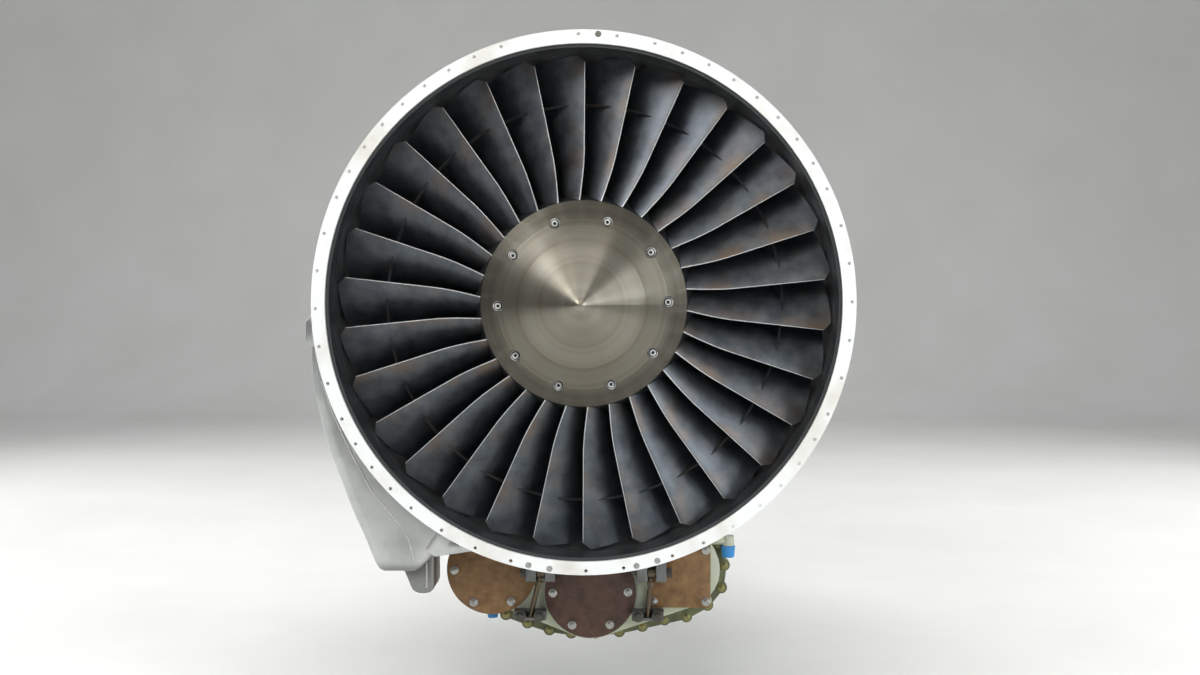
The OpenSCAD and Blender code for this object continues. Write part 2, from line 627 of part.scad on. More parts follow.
/* High-pressure spool */
imp_y = 606;
imp_rear_y = 666;
imp_in_hub_r = 44;
imp_in_tip_r = 92;
imp_blade_deg = 1.5;
imp_tip_w = 8;
core_bore_r = lp_shaft_r + 5;
core_turbine_y = 742;
core_hub_r = 100;
core_tip_r = 127;
core_blade_n = 40;
core_face_y = 700;
// The impeller's hub and tip lines are quarter ellipses from axial to radial
function imp_hub(t) = [mix(imp_in_hub_r, impeller_r, 1 - cos(90 * t)),
    mix(imp_y, imp_rear_y - 5, sin(90 * t))];
function imp_tip(t, out = 0) = [mix(imp_in_tip_r, impeller_r, 1 - cos(90 * t)) + out * cos(90 * t),
    mix(imp_y, imp_rear_y - 5 - imp_tip_w, sin(90 * t)) - out * sin(90 * t)];
imp_stops = [for (i = [0:8]) i / 8];

module impeller() color("#a2a4a5") difference() {
    union() {
        turned(concat([[core_bore_r, imp_y - 26], [core_bore_r + 7, imp_y - 26],
            [core_bore_r + 7, imp_y - 2],
            [imp_in_hub_r, imp_y]], [for (t = imp_stops) imp_hub(t)],
            [[impeller_r, imp_rear_y], [80, imp_rear_y + 1], [52, imp_rear_y + 10], [52, core_face_y],
                [core_bore_r, core_face_y]]));
        for (i = [0:2 * impeller_blades - 1]) rotate([0, i * 180 / impeller_blades, 0])
            along_axis() rotate_extrude(angle = imp_blade_deg) polygon(concat(
                [for (t = imp_stops) if (i % 2 == 0 || t >= 0.25)
                    let (p = imp_hub(t)) [p[0] - 1, p[1] + 1]],
                reversed([for (t = imp_stops) if (i % 2 == 0 || t >= 0.25) imp_tip(t)])));
    }
    along_axis(imp_y - 30) cylinder(r = core_bore_r, h = 200);
}

module high_pressure_turbine() color("#77695d") {
    turned([[core_bore_r, core_face_y + seat], [52, core_face_y + seat], [52, core_face_y + 6],
        [44, 712],
        [44, core_turbine_y - 4], [60, core_turbine_y], [core_hub_r - 10, core_turbine_y + 4],
        [core_hub_r, core_turbine_y - 1], [core_hub_r, core_turbine_y + 23],
            [core_hub_r - 10, core_turbine_y + 18],
            [60, core_turbine_y + 22], [44, 772], [44, 780], [core_bore_r, 780]]);
    blade_row(core_blade_n, core_turbine_y + 2, 18, core_hub_r + seat, core_tip_r - core_gap, 3, 30, 3);
}

/* Core casings */
duct_flange_r = lpc_out(lpc_end_y) + 16;
shroud_y = 600;
shroud_plate_y = imp_rear_y - 5 - imp_tip_w - core_gap;
plenum_flange_r = plenum_r + 10;
plenum_y = shroud_plate_y + seat;
plenum_rear_y = 852;
plate_w = 4;
nozzle_r = 182;
dome_y = 826;
burner_front_y = 716;
burner_in_r = 152;
burner_out_r = 212;
burner_wall = 1.6;
turn_r = (burner_out_r + core_hub_r) / 2;
lpt_case_flange_y = plenum_rear_y + plate_w + seat;
exhaust_y = 916;
exhaust_end_y = 986;

module interstage_duct() color("#a3a6a6") {
    turned([[lpc_out(lpc_end_y), lpc_end_y + seat], [duct_flange_r, lpc_end_y + seat],
        [duct_flange_r, lpc_end_y + 8],
        [lpc_out(lpc_end_y) + 4, lpc_end_y + 8], [imp_in_tip_r + 5, shroud_y - 10],
            [imp_in_tip_r + 16, shroud_y - 8], [imp_in_tip_r + 16, shroud_y - seat],
        [imp_in_tip_r + core_gap, shroud_y - seat], [imp_in_tip_r + core_gap, shroud_y - 12],
            [lpc_out(lpc_end_y), lpc_end_y + 12]]);
    turned([[128, lpc_end_y + seat], [imp_in_hub_r + 3, 590], [imp_in_hub_r, 598],
        [core_journal_r + 9, 598],
        [core_journal_r + 9, 584], [imp_in_hub_r - 1, 582], [imp_in_hub_r + 10, 572],
            [114, lpc_end_y + 4], [124, lpc_end_y + seat]]);
    for (i = [0:5]) rotate([0, i * 60, 0]) along_axis() rotate_extrude(angle = 6)
        polygon([[102, 540], [139.3, 540], [112, 570], [67, 570]]);
}
core_journal_r = core_bore_r + 7;

module impeller_shroud() color("#a9abab")
    turned(concat([[imp_in_tip_r + core_gap, shroud_y]],
        [for (t = imp_stops) imp_tip(t, core_gap)],
        [[plenum_flange_r, shroud_plate_y], [plenum_flange_r, shroud_plate_y - plate_w]],
        reversed([for (t = imp_stops) if (t > 0.2) imp_tip(t, core_gap + plate_w)]),
        [[imp_in_tip_r + 5, shroud_y + 6], [imp_in_tip_r + 16, shroud_y + 6],
            [imp_in_tip_r + 16, shroud_y]]));

diffuser_in_r = impeller_r + 1.4;
diffuser_out_r = 190;
diffuser_n = 19;
module diffuser() color("#8f8b85") {
    turned([[diffuser_in_r, imp_rear_y - 5], [diffuser_out_r, imp_rear_y - 5],
        [diffuser_out_r, imp_rear_y + 1], [diffuser_in_r, imp_rear_y + 6], [70, imp_rear_y + 12],
        [64, imp_rear_y + 18], [64, 708], [97.4, 708], [97.4, 712.3], [60, 712.3],
            [60, imp_rear_y + 14], [68, imp_rear_y + 7], [diffuser_in_r, imp_rear_y + 2]]);
    for (i = [0:diffuser_n - 1]) at_clock(i * 360 / diffuser_n, diffuser_in_r + 6,
        shroud_plate_y + seat)
        linear_extrude(imp_tip_w + core_gap) rotate(62)
            polygon([[0, -0.8], [78, -4], [80, 0], [78, 4], [0, 0.8]]);
}

module plenum_case() color("#8c7f72") difference() {
    turned([[plenum_r - casing_wall, plenum_y], [plenum_flange_r, plenum_y],
        [plenum_flange_r, plenum_y + 7], [plenum_r + 2, plenum_y + 7], [plenum_r, plenum_y + 10],
        [plenum_r, plenum_rear_y - 12], each arc_points(plenum_r - 16, plenum_rear_y - 12, 16, 0, 90,
            5), [158, plenum_rear_y + plate_w], [158, plenum_rear_y],
        each reversed(arc_points(plenum_r - 16, plenum_rear_y - 12, 16 - casing_wall, 0, 90, 5))]);
    ring_of(fuel_nozzle_count, nozzle_r, plenum_rear_y - 4, 12, 7.3);
    for (c = igniter_clocks) at_clock(c, plenum_r - 8, igniter_y) rotate([0, 90, 0])
        cylinder(r = 6.3, h = 14);
}
igniter_clocks = [60, 300];
igniter_y = 800;

// Wall of the reverse-flow burner: up the inner wall, over the dome and forward to the turn into the turbine
function burner(w) = concat(
    arc_points(burner_in_r - 10, burner_front_y, 10 - w, 180, 360, 8),
    [for (i = [0:10]) let (a = 180 - 18 * i) [nozzle_r + (burner_out_r - nozzle_r + w) * cos(a),
        dome_y + (18 + w) * sin(a)]],
    [for (i = [0:10]) let (a = -18 * i) [turn_r + (burner_out_r - turn_r + w) * cos(a),
        burner_front_y + (28 + w) * sin(a)]]);

module combustor_liner() color("#6e6259") difference() {
    turned(concat(burner(0), reversed(burner(burner_wall))));
    ring_of(fuel_nozzle_count, nozzle_r, dome_y + 10, 20, 7.5);
    for (row = [0:1]) for (i = [0:15]) at_clock((i + row / 2) * 22.5, burner_out_r - 5, 752 + 30 * row)
        rotate([0, 90, 0]) cylinder(r = 4, h = 12);
    for (c = igniter_clocks) at_clock(c, burner_out_r - 5, igniter_y) rotate([0, 90, 0])
        cylinder(r = 6.5, h = 12);
}

module fuel_nozzles() color("#8b8d8e") for (i = [0:fuel_nozzle_count - 1])
    at_clock(i * 360 / fuel_nozzle_count, nozzle_r, plenum_rear_y) {
    translate([0, 0, -16]) cylinder(r = 7, h = 32);
    translate([0, 0, -20]) cylinder(r1 = 4, r2 = 7, h = 4);
    translate([0, 0, plate_w + seat]) cylinder(r = 13, h = 4);
    translate([0, 0, 12]) cylinder(r = 8.5, h = 9, $fn = 6);
}

module fuel_manifold() color("#a6a8a9") {
    along_axis(plenum_rear_y + 34) rotate_extrude() translate([nozzle_r, 0]) circle(r = 5);
    for (i = [0:fuel_nozzle_count - 1])
        at_clock(i * 360 / fuel_nozzle_count, nozzle_r, plenum_rear_y + 21.3) cylinder(r = 6.5, h = 12);
}

module igniter_plugs() color("#b9b3a6") for (c = igniter_clocks)
    at_clock(c, burner_out_r - 2, igniter_y) rotate([0, 90, 0]) {
    cylinder(r = 6, h = 26);
    translate([0, 0, plenum_r - burner_out_r + 2.3]) cylinder(r = 10, h = 7, $fn = 6);
}

module high_pressure_nozzle() color("#80766c") {
    turned([[core_tip_r, 716.3], [core_tip_r + 6.5, 716.3], [core_tip_r + 6.5, 760],
        [core_tip_r + 12, 762],
        [core_tip_r + 12, 770], [core_tip_r, 770]]);
    turned([[95.5, 712.6], [97.6, 712.6], [97.8, 716.3], [99.8, 716.3], [99.8, 738], [95.5, 738]]);
    blade_row(23, 718, 18, 98.5, core_tip_r + 1, 4, -35, -4);
}

module lp_turbine_case() color("#857a6f") {
    turned([[lpt_out(770.3), 770.3], [core_tip_r + 12, 770.3], [core_tip_r + 12, 777],
        [lpt_out(780) + casing_wall, 780], [lpt_out(848) + casing_wall, 848],
        [154, lpt_case_flange_y], [166, lpt_case_flange_y], [166, lpt_case_flange_y + 5],
            [lpt_out(864) + casing_wall, 864], [lpt_out(902) + casing_wall, 902],
        [176, 906], [176, exhaust_y - seat], [lpt_out(exhaust_y - seat), exhaust_y - seat]]);
    for (y = lpt_y) blade_row(28, y - 23, 17, lpt_hub_r + core_gap, lpt_out(y - 23) - 0.5, 3, -30, -4);
}

module exhaust_frame() color("#7d7067") difference() {
    union() {
        turned([[165, exhaust_y], [176, exhaust_y], [176, exhaust_y + 6], [169, exhaust_y + 8],
            [169, 934], [174, 938], [174, 962], [169, 966],
            [169, exhaust_end_y - 8], [176, exhaust_end_y - 6], [176, exhaust_end_y],
                [165, exhaust_end_y]]);
        turned([[98, exhaust_y + 2], [102, exhaust_y + 2], [102, exhaust_end_y], [90, exhaust_end_y],
            [90, exhaust_end_y - 5], [98, exhaust_end_y - 5], [98, 950], [38, 946], [31, 950],
            [31, 922], [37, 922], [38, 938], [98, 942]]);
        for (i = [0:5]) vane(i * 60, 100, 167, 924, 50, 9);
        translate([-20, 938, 172]) cube([40, 24, 18]);
        translate([-20, 950, 190]) rotate([0, 90, 0]) cylinder(r = 12, h = 40);
    }
    translate([-25, 950, 190]) rotate([0, 90, 0]) cylinder(r = rear_pin_r, h = 50);
    translate([-8, 930, 178]) cube([16, 40, 40]);
}
rear_pin_r = 6.4;

module core_nozzle() color("#8a7a6c")
    turned([[164, exhaust_end_y + seat], [176, exhaust_end_y + seat], [176, exhaust_end_y + 6],
    [169, exhaust_end_y + 8],
    [168, 1040], [160, 1110], [149, 1180], [147.5, 1180], [158, 1110], [166, 1040],
        [166.5, exhaust_end_y + 12]]);

module tail_cone() color("#84766a")
    turned([[88, exhaust_end_y + seat], [101, exhaust_end_y + seat], [100, 1010], [88, 1050],
    [64, 1095], [30, 1132], [8, 1146], [0, 1148],
    [0, 1145.5], [7, 1143.6], [29, 1130], [62.5, 1093], [86, 1049], [98, 1009], [98, exhaust_end_y + 5],
        [88, exhaust_end_y + 5]]);

bypass_out = [[frame_outer_r, frame_end_y + seat], [frame_outer_r - 1, 420], [frame_outer_r - 6, 520],
    [frame_outer_r - 18, 640], [frame_outer_r - 34, 760], [frame_outer_r - 44, 860]];
bypass_wall = 2.5;
module bypass_duct_outer() color("#b3b6b6") union() {
    band(bypass_out, bypass_wall);
    turned([[frame_inner_r, frame_end_y + seat], [frame_outer_r + 15, frame_end_y + seat],
        [frame_outer_r + 15, frame_end_y + 6], [frame_outer_r, frame_end_y + 8],
        [frame_inner_r + 3, frame_end_y + 12]]);
    for (p = [1:4]) turned([[bypass_out[p][0] - 1.5, bypass_out[p][1] - 9],
        [bypass_out[p][0] + 5, bypass_out[p][1] - 3],
        [bypass_out[p][0] + 5, bypass_out[p][1] + 3], [bypass_out[p][0] - 1.5, bypass_out[p][1] + 6]]);
}

module bypass_duct_inner() color("#a7a9a8") union() {
    band([[duct_in_rear_r, frame_end_y + seat], [222, 420], [240, 560], [248, 640], [248, 760],
        [242, 840], [216, 910]], 2);
    turned([[plenum_r + seat, 824], [242, 822], [242, 828], [plenum_r + seat, 828]]);
    turned([[core_outer_rear_r + 16.5, frame_end_y + seat], [duct_in_rear_r, frame_end_y + seat],
        [duct_in_rear_r, frame_end_y + 4], [core_outer_rear_r + 16.5, frame_end_y + 4]]);
}

module bearing_outer_rings() color("#c2c6c9") {
    for (y = [front_bearing_y, rear_bearing_y])
        bearing_ring(y, bearing_w, bearing_out_r, bearing_case_r - fit);
    bearing_ring(carrier_y, 14, lp_shaft_r + 3 + journal_gap, 37 - fit);
    bearing_ring(584, 14, core_journal_r + journal_gap, core_journal_r + 9 - fit);
    bearing_ring(690, 16, 52 + journal_gap, 60 - fit);
    bearing_ring(924, 16, lp_shaft_r - 2 + journal_gap, 31 - fit);
}

/* Oil tank, which wraps the left of the fan case */
tank_in_r = case_r + rib_h + 2;
tank_floor_z = 395;
tank_first = 211;
tank_last = 261;
tank_edge = 17;
// Outer radius of the tank against clock angle
tank_outline = [[210.8, 435.6], [213, 478], [221.5, 478.6], [224.8, 468.7], [229.8, 453.1],
    [237.7, 440.3], [243.2, 427.5], [250.1, 417.6], [261, 403.5]];
function tank_out(c) = min(lookup(c, tank_outline), tank_floor_z / cos(c - 180));
function tank_section(c) =
    let (outer = tank_out(c), e = min(tank_edge, (outer - tank_in_r) * 0.45), f = 5,
         y0 = tank_front, y1 = tank_front + tank_depth,
         ring = concat(arc_points(tank_in_r + f, y0 + f, f, 180, 270, 2),
             arc_points(outer - e, y0 + e, e, 270, 360, 4),
                       arc_points(outer - e, y1 - e, e, 0, 90, 4),
                           arc_points(tank_in_r + f, y1 - f, f, 90, 180, 2)))
    [for (p = ring) [p[0] * cos(c - 90), p[0] * sin(c - 90), p[1]]];
tank_stops = concat([tank_first, 212.2, 213.6, 215, 216.7],
    [for (i = [1:10]) mix(216.7, tank_last, i / 10)]);

module oil_tank() color("#b4b5b3") along_axis() loft([for (c = tank_stops) tank_section(c)]);

sump_y = 44;
sump_depth = 92;
module sump_outline() hull() {
    for (p = [[-262, 395.6 + 6], [-256, 395.6 + 4], [-230, 404], [-228, 424], [-252, 424]]) translate(p)
        circle(r = p[1] > 420 ? 7.5 : 3.5, $fn = 24);
}
module tank_sump() color("#a39a8d") difference() {
    along_axis(sump_y) linear_extrude(sump_depth) sump_outline();
    translate([-300, sump_y - 1, -tank_floor_z - 0.3]) cube([100, sump_depth + 2, 40]);
}

lug_y = 96;
module tank_brackets() color("#b9b8b4") {
    difference() {
        along_axis(lug_y) linear_extrude(5)
            polygon([[-372.5, 58.6], [-404, 63.6], [-412, 55], [-412, 28], [-405, 18], [-374, 16]]);
        case_cut(case_r + seat, lug_y - 50, 100);
        translate([-399, lug_y - 1, -42]) rotate([-90, 0, 0]) cylinder(r = 3.2, h = 8);
    }
    difference() {
        along_axis(lug_y) linear_extrude(4)
            polygon([[-199.1, 332], [-219.1, 365.3], [-213, 376], [-165, 368], [-172, 330]]);
        case_cut(case_r + seat, lug_y - 50, 100);
        translate([-190.8, lug_y - 1, -363]) rotate([-90, 0, 0]) cylinder(r = 4.2, h = 8);
    }
    translate([-190.8, lug_y - 6, -363]) rotate([-90, 0, 0]) difference() {
        cylinder(r = 9.5, h = 6 - seat);
        translate([0, 0, -1]) cylinder(r = 5, h = 4);
    }
    translate([-399, lug_y - 5, -42]) rotate([-90, 0, 0]) {
        cylinder(r = 5.6, h = 5 - seat, $fn = 6);
        cylinder(r = 3, h = 14);
    }
}

/* Accessory gearbox: three drive pads as [x, z] with the radius of the body round each */
pads = [[-142.2, -404.2], [10.8, -436.3], [146, -402]];
pad_r = [66, 69, 66];
pad_face = 5;
gearbox_split_y = gearbox_y + gearbox_front;
gearbox_end_y = gearbox_split_y + gearbox_rear;
gearbox_flange_t = 8;
gearbox_clear_r = 388;
// Flange bolts as [pad, clock angle round the pad, distance from its centre]
gearbox_bolt_list = [[0, 280, 75], [0, 252, 75], [0, 224, 75], [0, 194, 75], [0, 160, 85],
    [1, 225, 88.5], [1, 203, 76.6], [1, 172, 76], [1, 143, 81],
    [2, 197, 85.5], [2, 171, 74], [2, 139, 74], [2, 112, 74], [2, 84, 74]];
function bolt_at(b) = [pads[b[0]][0] + b[2] * sin(b[1]), -pads[b[0]][1] - b[2] * cos(b[1])];

module gearbox_outline(grow) difference() {
    for (i = [0:1]) hull() for (k = [i, i + 1]) translate([pads[k][0], -pads[k][1]])
        circle(r = pad_r[k] + grow, $fn = 48);
    circle(r = gearbox_clear_r, $fn = big_fn);
}
module gearbox_flange(y) along_axis(y) linear_extrude(gearbox_flange_t) {
    gearbox_outline(3);
    for (b = gearbox_bolt_list) translate(bolt_at(b)) circle(r = 9);
}
module gearbox_bolt_holes(y, len) for (b = gearbox_bolt_list) along_axis(y) translate(bolt_at(b))
    cylinder(r = gearbox_bolt_r + 0.2, h = len);

module gearbox_front_housing() color("#9aa08e") difference() {
    union() {
        along_axis(gearbox_y + pad_face) linear_extrude(gearbox_front - pad_face) gearbox_outline(0);
        for (k = [0:2]) along_axis(gearbox_y) difference() {
            translate([pads[k][0], -pads[k][1]]) cylinder(r = pad_r[k] - 1, h = pad_face + 1);
            translate([0, 0, -1]) cylinder(r = gearbox_clear_r, h = pad_face + 3, $fn = big_fn);
        }
        gearbox_flange(gearbox_split_y - gearbox_flange_t);
    }
    gearbox_bolt_holes(gearbox_split_y - gearbox_flange_t - 1, gearbox_flange_t + 2);
}
module gearbox_rear_housing() color("#8f9684") difference() {
    union() {
        along_axis(gearbox_split_y + seat) linear_extrude(gearbox_rear - seat) gearbox_outline(-6);
        gearbox_flange(gearbox_split_y + seat);
        for (k = [0:2]) along_axis(gearbox_end_y - 1) difference() {
            translate([pads[k][0], -pads[k][1]]) cylinder(r = pad_r[k] - 18, h = 11);
            translate([0, 0, -1]) cylinder(r = gearbox_clear_r, h = 14, $fn = big_fn);
        }
    }
    gearbox_bolt_holes(gearbox_split_y, gearbox_flange_t + 2);
}
module gearbox_bolts() color("#8d8a72") for (b = gearbox_bolt_list)
    along_axis(gearbox_split_y - gearbox_flange_t) translate(bolt_at(b))
        through_bolt(gearbox_bolt_r, 2 * gearbox_flange_t + seat);

/* Covers bolted over the drive pads */
cover_t = 6;
cover_y = gearbox_y - seat - cover_t;
cover_bolt_r = 3.2;
cover_clear_r = gearbox_clear_r + 2;
square_cover = 96;
left_bolts = [for (i = [0:5]) let (c = 268 + 60 * i) [pads[0][0] + 55 * sin(c),
    pads[0][1] + 55 * cos(c)]];
centre_bolts = [for (i = [0:5]) let (c = 30 + 60 * i) [pads[1][0] + 57.6 * sin(c),
    pads[1][1] + 57.6 * cos(c)]];
right_bolts = [for (sx = [-1, 1])
    for (sz = [-1, 1]) [pads[2][0] + 40 * sx, pads[2][1] - 8 + 39.5 * sz]];
function outside_case(list) = [for (p = list) if (norm(p) > cover_clear_r + 9) p];
left_bolt_xz = outside_case(left_bolts);
centre_bolt_xz = outside_case(centre_bolts);
right_bolt_xz = outside_case(right_bolts);

module cover_plate(bolts) along_axis(cover_y) difference() {
    linear_extrude(cover_t) difference() {
        children();
        circle(r = cover_clear_r, $fn = big_fn);
    }
    for (p = bolts) translate([p[0], -p[1], -1]) cylinder(r = cover_bolt_r + 0.2, h = cover_t + 2);
}
module left_pad_cover() color("#7a5a3c") cover_plate(left_bolt_xz) translate([pads[0][0], -pads[0][1]])
    circle(r = 66.3);
module centre_pad_cover() color("#4a3733") cover_plate(centre_bolt_xz)
    translate([pads[1][0], -pads[1][1]]) circle(r = 68.9);
module right_pad_cover() color("#8f6a48") cover_plate(right_bolt_xz)
    translate([pads[2][0], 8 - pads[2][1]]) square(square_cover, center = true);
module pad_cover_bolts() color("#c4c6c8") for (p = concat(left_bolt_xz, centre_bolt_xz, right_bolt_xz))
    along_axis(cover_y) translate([p[0], -p[1], 0]) {
    translate([0, 0, -1.5]) cylinder(r = 6.4, h = 1.4);
    translate([0, 0, -7]) cylinder(r = 4.4, h = 6, $fn = 6);
    translate([0, 0, -9]) cylinder(r = cover_bolt_r - 0.1, h = 14);
}

/* Gearbox hangers: adjustable rods from brackets under the fan case to clevises on the gearbox face */
// Each hanger as [x at the top, x at the foot, side its pin's head is on]
hangers = [[-66, -79, -1], [99, 97, 1]];
hanger_top_z = -404;
hanger_foot_z = -468;
hanger_y = 126;
hanger_pin_r = 4.5;
clevis_t = 9;

module gearbox_links() color("#8d8a84") for (h = hangers) {
    lean_deg = atan2(h[1] - h[0], hanger_top_z - hanger_foot_z);
    translate([h[0], hanger_y, hanger_top_z]) rotate([0, 180 - lean_deg, 0]) {
        translate([0, 0, 7]) cylinder(r = rod_r,
            h = (hanger_top_z - hanger_foot_z) / cos(lean_deg) + 1);
        translate([0, 0, 14]) cylinder(r = 6.5, h = 7, $fn = 6);
    }
    translate([h[0] - 4.5, hanger_y, hanger_top_z]) rotate([0, 90, 0]) difference() {
        cylinder(r = 9, h = 9);
        translate([0, 0, -1]) cylinder(r = hanger_pin_r + 0.1, h = 12);
    }
}

module link_brackets() color("#85888a") for (h = hangers) {
    difference() {
        translate([h[0] - 22, hanger_y - 14, hanger_top_z + 2 - 12]) cube([44, 22, 48]);
        case_cut(case_r + rib_h + seat, hanger_y - 30, 60);
        translate([h[0] - 6.3, hanger_y - 20, hanger_top_z - 12]) cube([12.6, 40, 26]);
        translate([h[0] - 30, hanger_y, hanger_top_z]) rotate([0, 90, 0])
            cylinder(r = hanger_pin_r + 0.1, h = 60);
    }
    difference() {
        translate([h[1] - 24, hanger_y - 8, hanger_foot_z - 2])
            cube([48, gearbox_y + pad_face - seat - hanger_y + 8, 14]);
        translate([h[1], hanger_y, hanger_foot_z - 20]) cylinder(r = rod_r + 3.4, h = 60);
        for (s = [-1, 1]) translate([h[1] + 14.5 * s, hanger_y - 10, hanger_foot_z + 5])
            rotate([-90, 0, 0]) cylinder(r = 4.2, h = 50);
        for (k = [0:2]) along_axis(cover_y - 1) translate([pads[k][0], -pads[k][1]])
            cylinder(r = pad_r[k] + 0.8, h = 30);
        translate([pads[2][0] - square_cover / 2 - 1, cover_y - 1, pads[2][1] - 9 - square_cover / 2])
            cube(square_cover);
    }
}

module link_bolts() color("#5d5a58") for (h = hangers) {
    translate([h[0], hanger_y, hanger_top_z]) rotate([0, 90, 0]) {
        translate([0, 0, -30]) cylinder(r = hanger_pin_r, h = 60);
        translate([0, 0, h[2] * 27 - 3.5]) cylinder(r = 8, h = 7, $fn = 6);
    }
    for (s = [-1, 1]) translate([h[1] + 14.5 * s, hanger_y - 8, hanger_foot_z + 5])
        rotate([-90, 0, 0]) {
        translate([0, 0, -1.6]) cylinder(r = 8.6, h = 1.5);
        translate([0, 0, -7.5]) cylinder(r = 5.6, h = 6);
        cylinder(r = 4, h = gearbox_y + pad_face - hanger_y + 7.6 - seat);
        translate([0, 0, -2]) cylinder(r = 4, h = 3);
    }
}

module radial_drive_housing() color("#9da39b") difference() {
    union() {
        translate([0, 262, -gearbox_clear_r - 3]) cylinder(r = 17, h = 27);
        translate([0, 262, -frame_outer_r - 11]) cylinder(r = 24, h = 5);
    }
    case_cut(frame_outer_r + 5 + seat, 200, 120);
    turned([[gearbox_clear_r - seat, 240], [gearbox_clear_r + 10, 240], [gearbox_clear_r + 10, 290],
        [gearbox_clear_r - seat, 290]]);
}

/* Oil lines and blanking caps */
module tube(route, r, sides = 10) loft([for (i = [0:len(route) - 1])
    let (a = route[max(0, i - 1)], b = route[min(len(route) - 1, i + 1)], d = (b - a) / norm(b - a),
         u = cross(d, abs(d[2]) < 0.9 ? [0, 0, 1] : [1, 0, 0]), un = u / norm(u), v = cross(d, un))
    [for (k = [0:sides - 1]) route[i] + r * (un * cos(k * 360 / sides) + v * sin(k * 360 / sides))]]);
feed_route = [[-246, 136.3, -410], [-246, 150, -410], [-244, 162, -410], [-238, 172, -411],
    [-228, 178, -413], [-218, 180, -415], [-208.8, 180, -416]];
module oil_tubes() color("#a9aaa8") tube(feed_route, 7);

module protective_caps() color("#2f7fc4") {
    translate([-136, 172, -473.3]) rotate([0, 193, 0]) translate([0, 0, seat]) cylinder(r = 9, h = 7);
    translate([pads[2][0], 172, pads[2][1]]) rotate([0, 60, 0]) translate([0, 0, pad_r[2] + seat])
        cylinder(r = 14, h = 30);
}

fan_case();
fan_liner();
case_bolts();
bypass_vanes();
fan_frame();
core_inlet_vanes();
gear_housing();
bearing_outer_rings();
gear_carrier();
spinner();
spinner_bolts();
fan_disk();
fan_blades();
fan_shaft();
ring_gear();
fan_bearing_rollers();
planet_gear(0);  // planet_gear_1
planet_gear(1);  // planet_gear_2
planet_gear(2);  // planet_gear_3
planet_gear(3);  // planet_gear_4
planet_gear(4);  // planet_gear_5
lp_shaft();
lp_compressor_rotor();
lp_turbine_rotor();
lp_compressor_case();
lp_compressor_vanes();
interstage_duct();
impeller();
impeller_shroud();
diffuser();
plenum_case();
combustor_liner();
fuel_nozzles();
fuel_manifold();
igniter_plugs();
high_pressure_nozzle();
high_pressure_turbine();
lp_turbine_case();
exhaust_frame();
core_nozzle();
tail_cone();
bypass_duct_outer();
bypass_duct_inner();
mount_pads();
radial_drive_housing();
oil_tank();
tank_sump();
tank_brackets();
oil_tubes();
protective_caps();
gearbox_front_housing();
gearbox_rear_housing();
gearbox_bolts();
left_pad_cover();
centre_pad_cover();
right_pad_cover();
pad_cover_bolts();
gearbox_links();
link_brackets();
link_bolts();
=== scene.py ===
# %% [markdown]
# # A geared-fan jet engine, dressed for its photograph
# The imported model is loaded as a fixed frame: metres, +Y aft along the engine axis, +Z up, and the
# front flange's face at station 0. This script gives every surface its finish. Closer shapes, read
# from the photograph, stand for the fan blades, the spinner's screws, and the oil tank and accessory
# gearbox with their fittings. The tank's weld beads are added.

# %% Load the frame
import math

import bmesh
import bpy
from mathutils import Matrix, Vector
from mathutils.bvhtree import BVHTree


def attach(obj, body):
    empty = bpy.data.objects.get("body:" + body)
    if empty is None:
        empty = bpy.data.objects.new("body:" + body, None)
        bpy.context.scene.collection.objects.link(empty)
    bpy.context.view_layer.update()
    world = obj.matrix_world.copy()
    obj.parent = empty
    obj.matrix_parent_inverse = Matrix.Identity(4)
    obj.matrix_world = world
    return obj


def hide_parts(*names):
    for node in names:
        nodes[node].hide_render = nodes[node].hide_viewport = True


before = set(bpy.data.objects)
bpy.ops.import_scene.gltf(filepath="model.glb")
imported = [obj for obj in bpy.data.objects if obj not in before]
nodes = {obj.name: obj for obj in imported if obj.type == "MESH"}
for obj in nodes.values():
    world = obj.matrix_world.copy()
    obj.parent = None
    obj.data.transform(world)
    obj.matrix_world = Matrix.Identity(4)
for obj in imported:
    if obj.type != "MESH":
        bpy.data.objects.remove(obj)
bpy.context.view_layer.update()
MM = 0.001

# %% [markdown]
# ## Palette
# Colours are read from the photograph as sRGB hex codes, and one function turns them linear.

# %% Colours
PALETTE = {
    "enamel": "eceff1", "enamel_worn": "b4b8ba", "enamel_stain": "cfcbc2",
    "liner": "17191c", "liner_edge": "3a3d41",
    "graphite": "474c53", "graphite_pale": "81868b", "blade_tan": "7a6048", "blade_blue": "525c6a",
    "blade_edge": "cdd0d3", "bright": "cfcfcd",
    "spun": "8d877a", "spun_pale": "a09b8e", "platform": "5c5f60",
    "alloy": "a6a9a8", "alloy_dark": "6f7372", "sheet": "c9cbcb", "sheet_smudge": "8e9090",
    "weld": "8e8f8d",
    "pale_green": "b4bca6", "olive": "6b6f4c", "olive_dark": "4a4e38",
    "tan_board": "8c6a42", "tan_mark": "694b2e", "brown_board": "573b30", "brown_mark": "3c2922",
    "steel": "b3b3b1", "steel_dark": "5b5955", "rod_brown": "655a4b", "bracket": "7c7f80",
    "gear": "8f9295", "heat_pale": "8f8172", "heat_brown": "5f4a3b", "heat_blue": "4a4d5c",
    "cap_blue": "1f86d8", "brass": "8f8a60", "floor": "d4d4d1", "wall": "dfe0df",
}


def linear(name):
    """A palette colour as linear RGBA."""
    code = PALETTE[name]
    parts = [int(code[i:i + 2], 16) / 255 for i in (0, 2, 4)]
    return tuple(c / 12.92 if c <= 0.04045 else ((c + 0.055) / 1.055) ** 2.4 for c in parts) + (1.0,)


print(len(PALETTE), "colours")

# %% [markdown]
# ## Node helpers
# Each helper adds one node and returns the output that the next one needs. Patterns are sized in real
# millimetres, from the frame's own coordinates, so they stay at the right scale on every part.


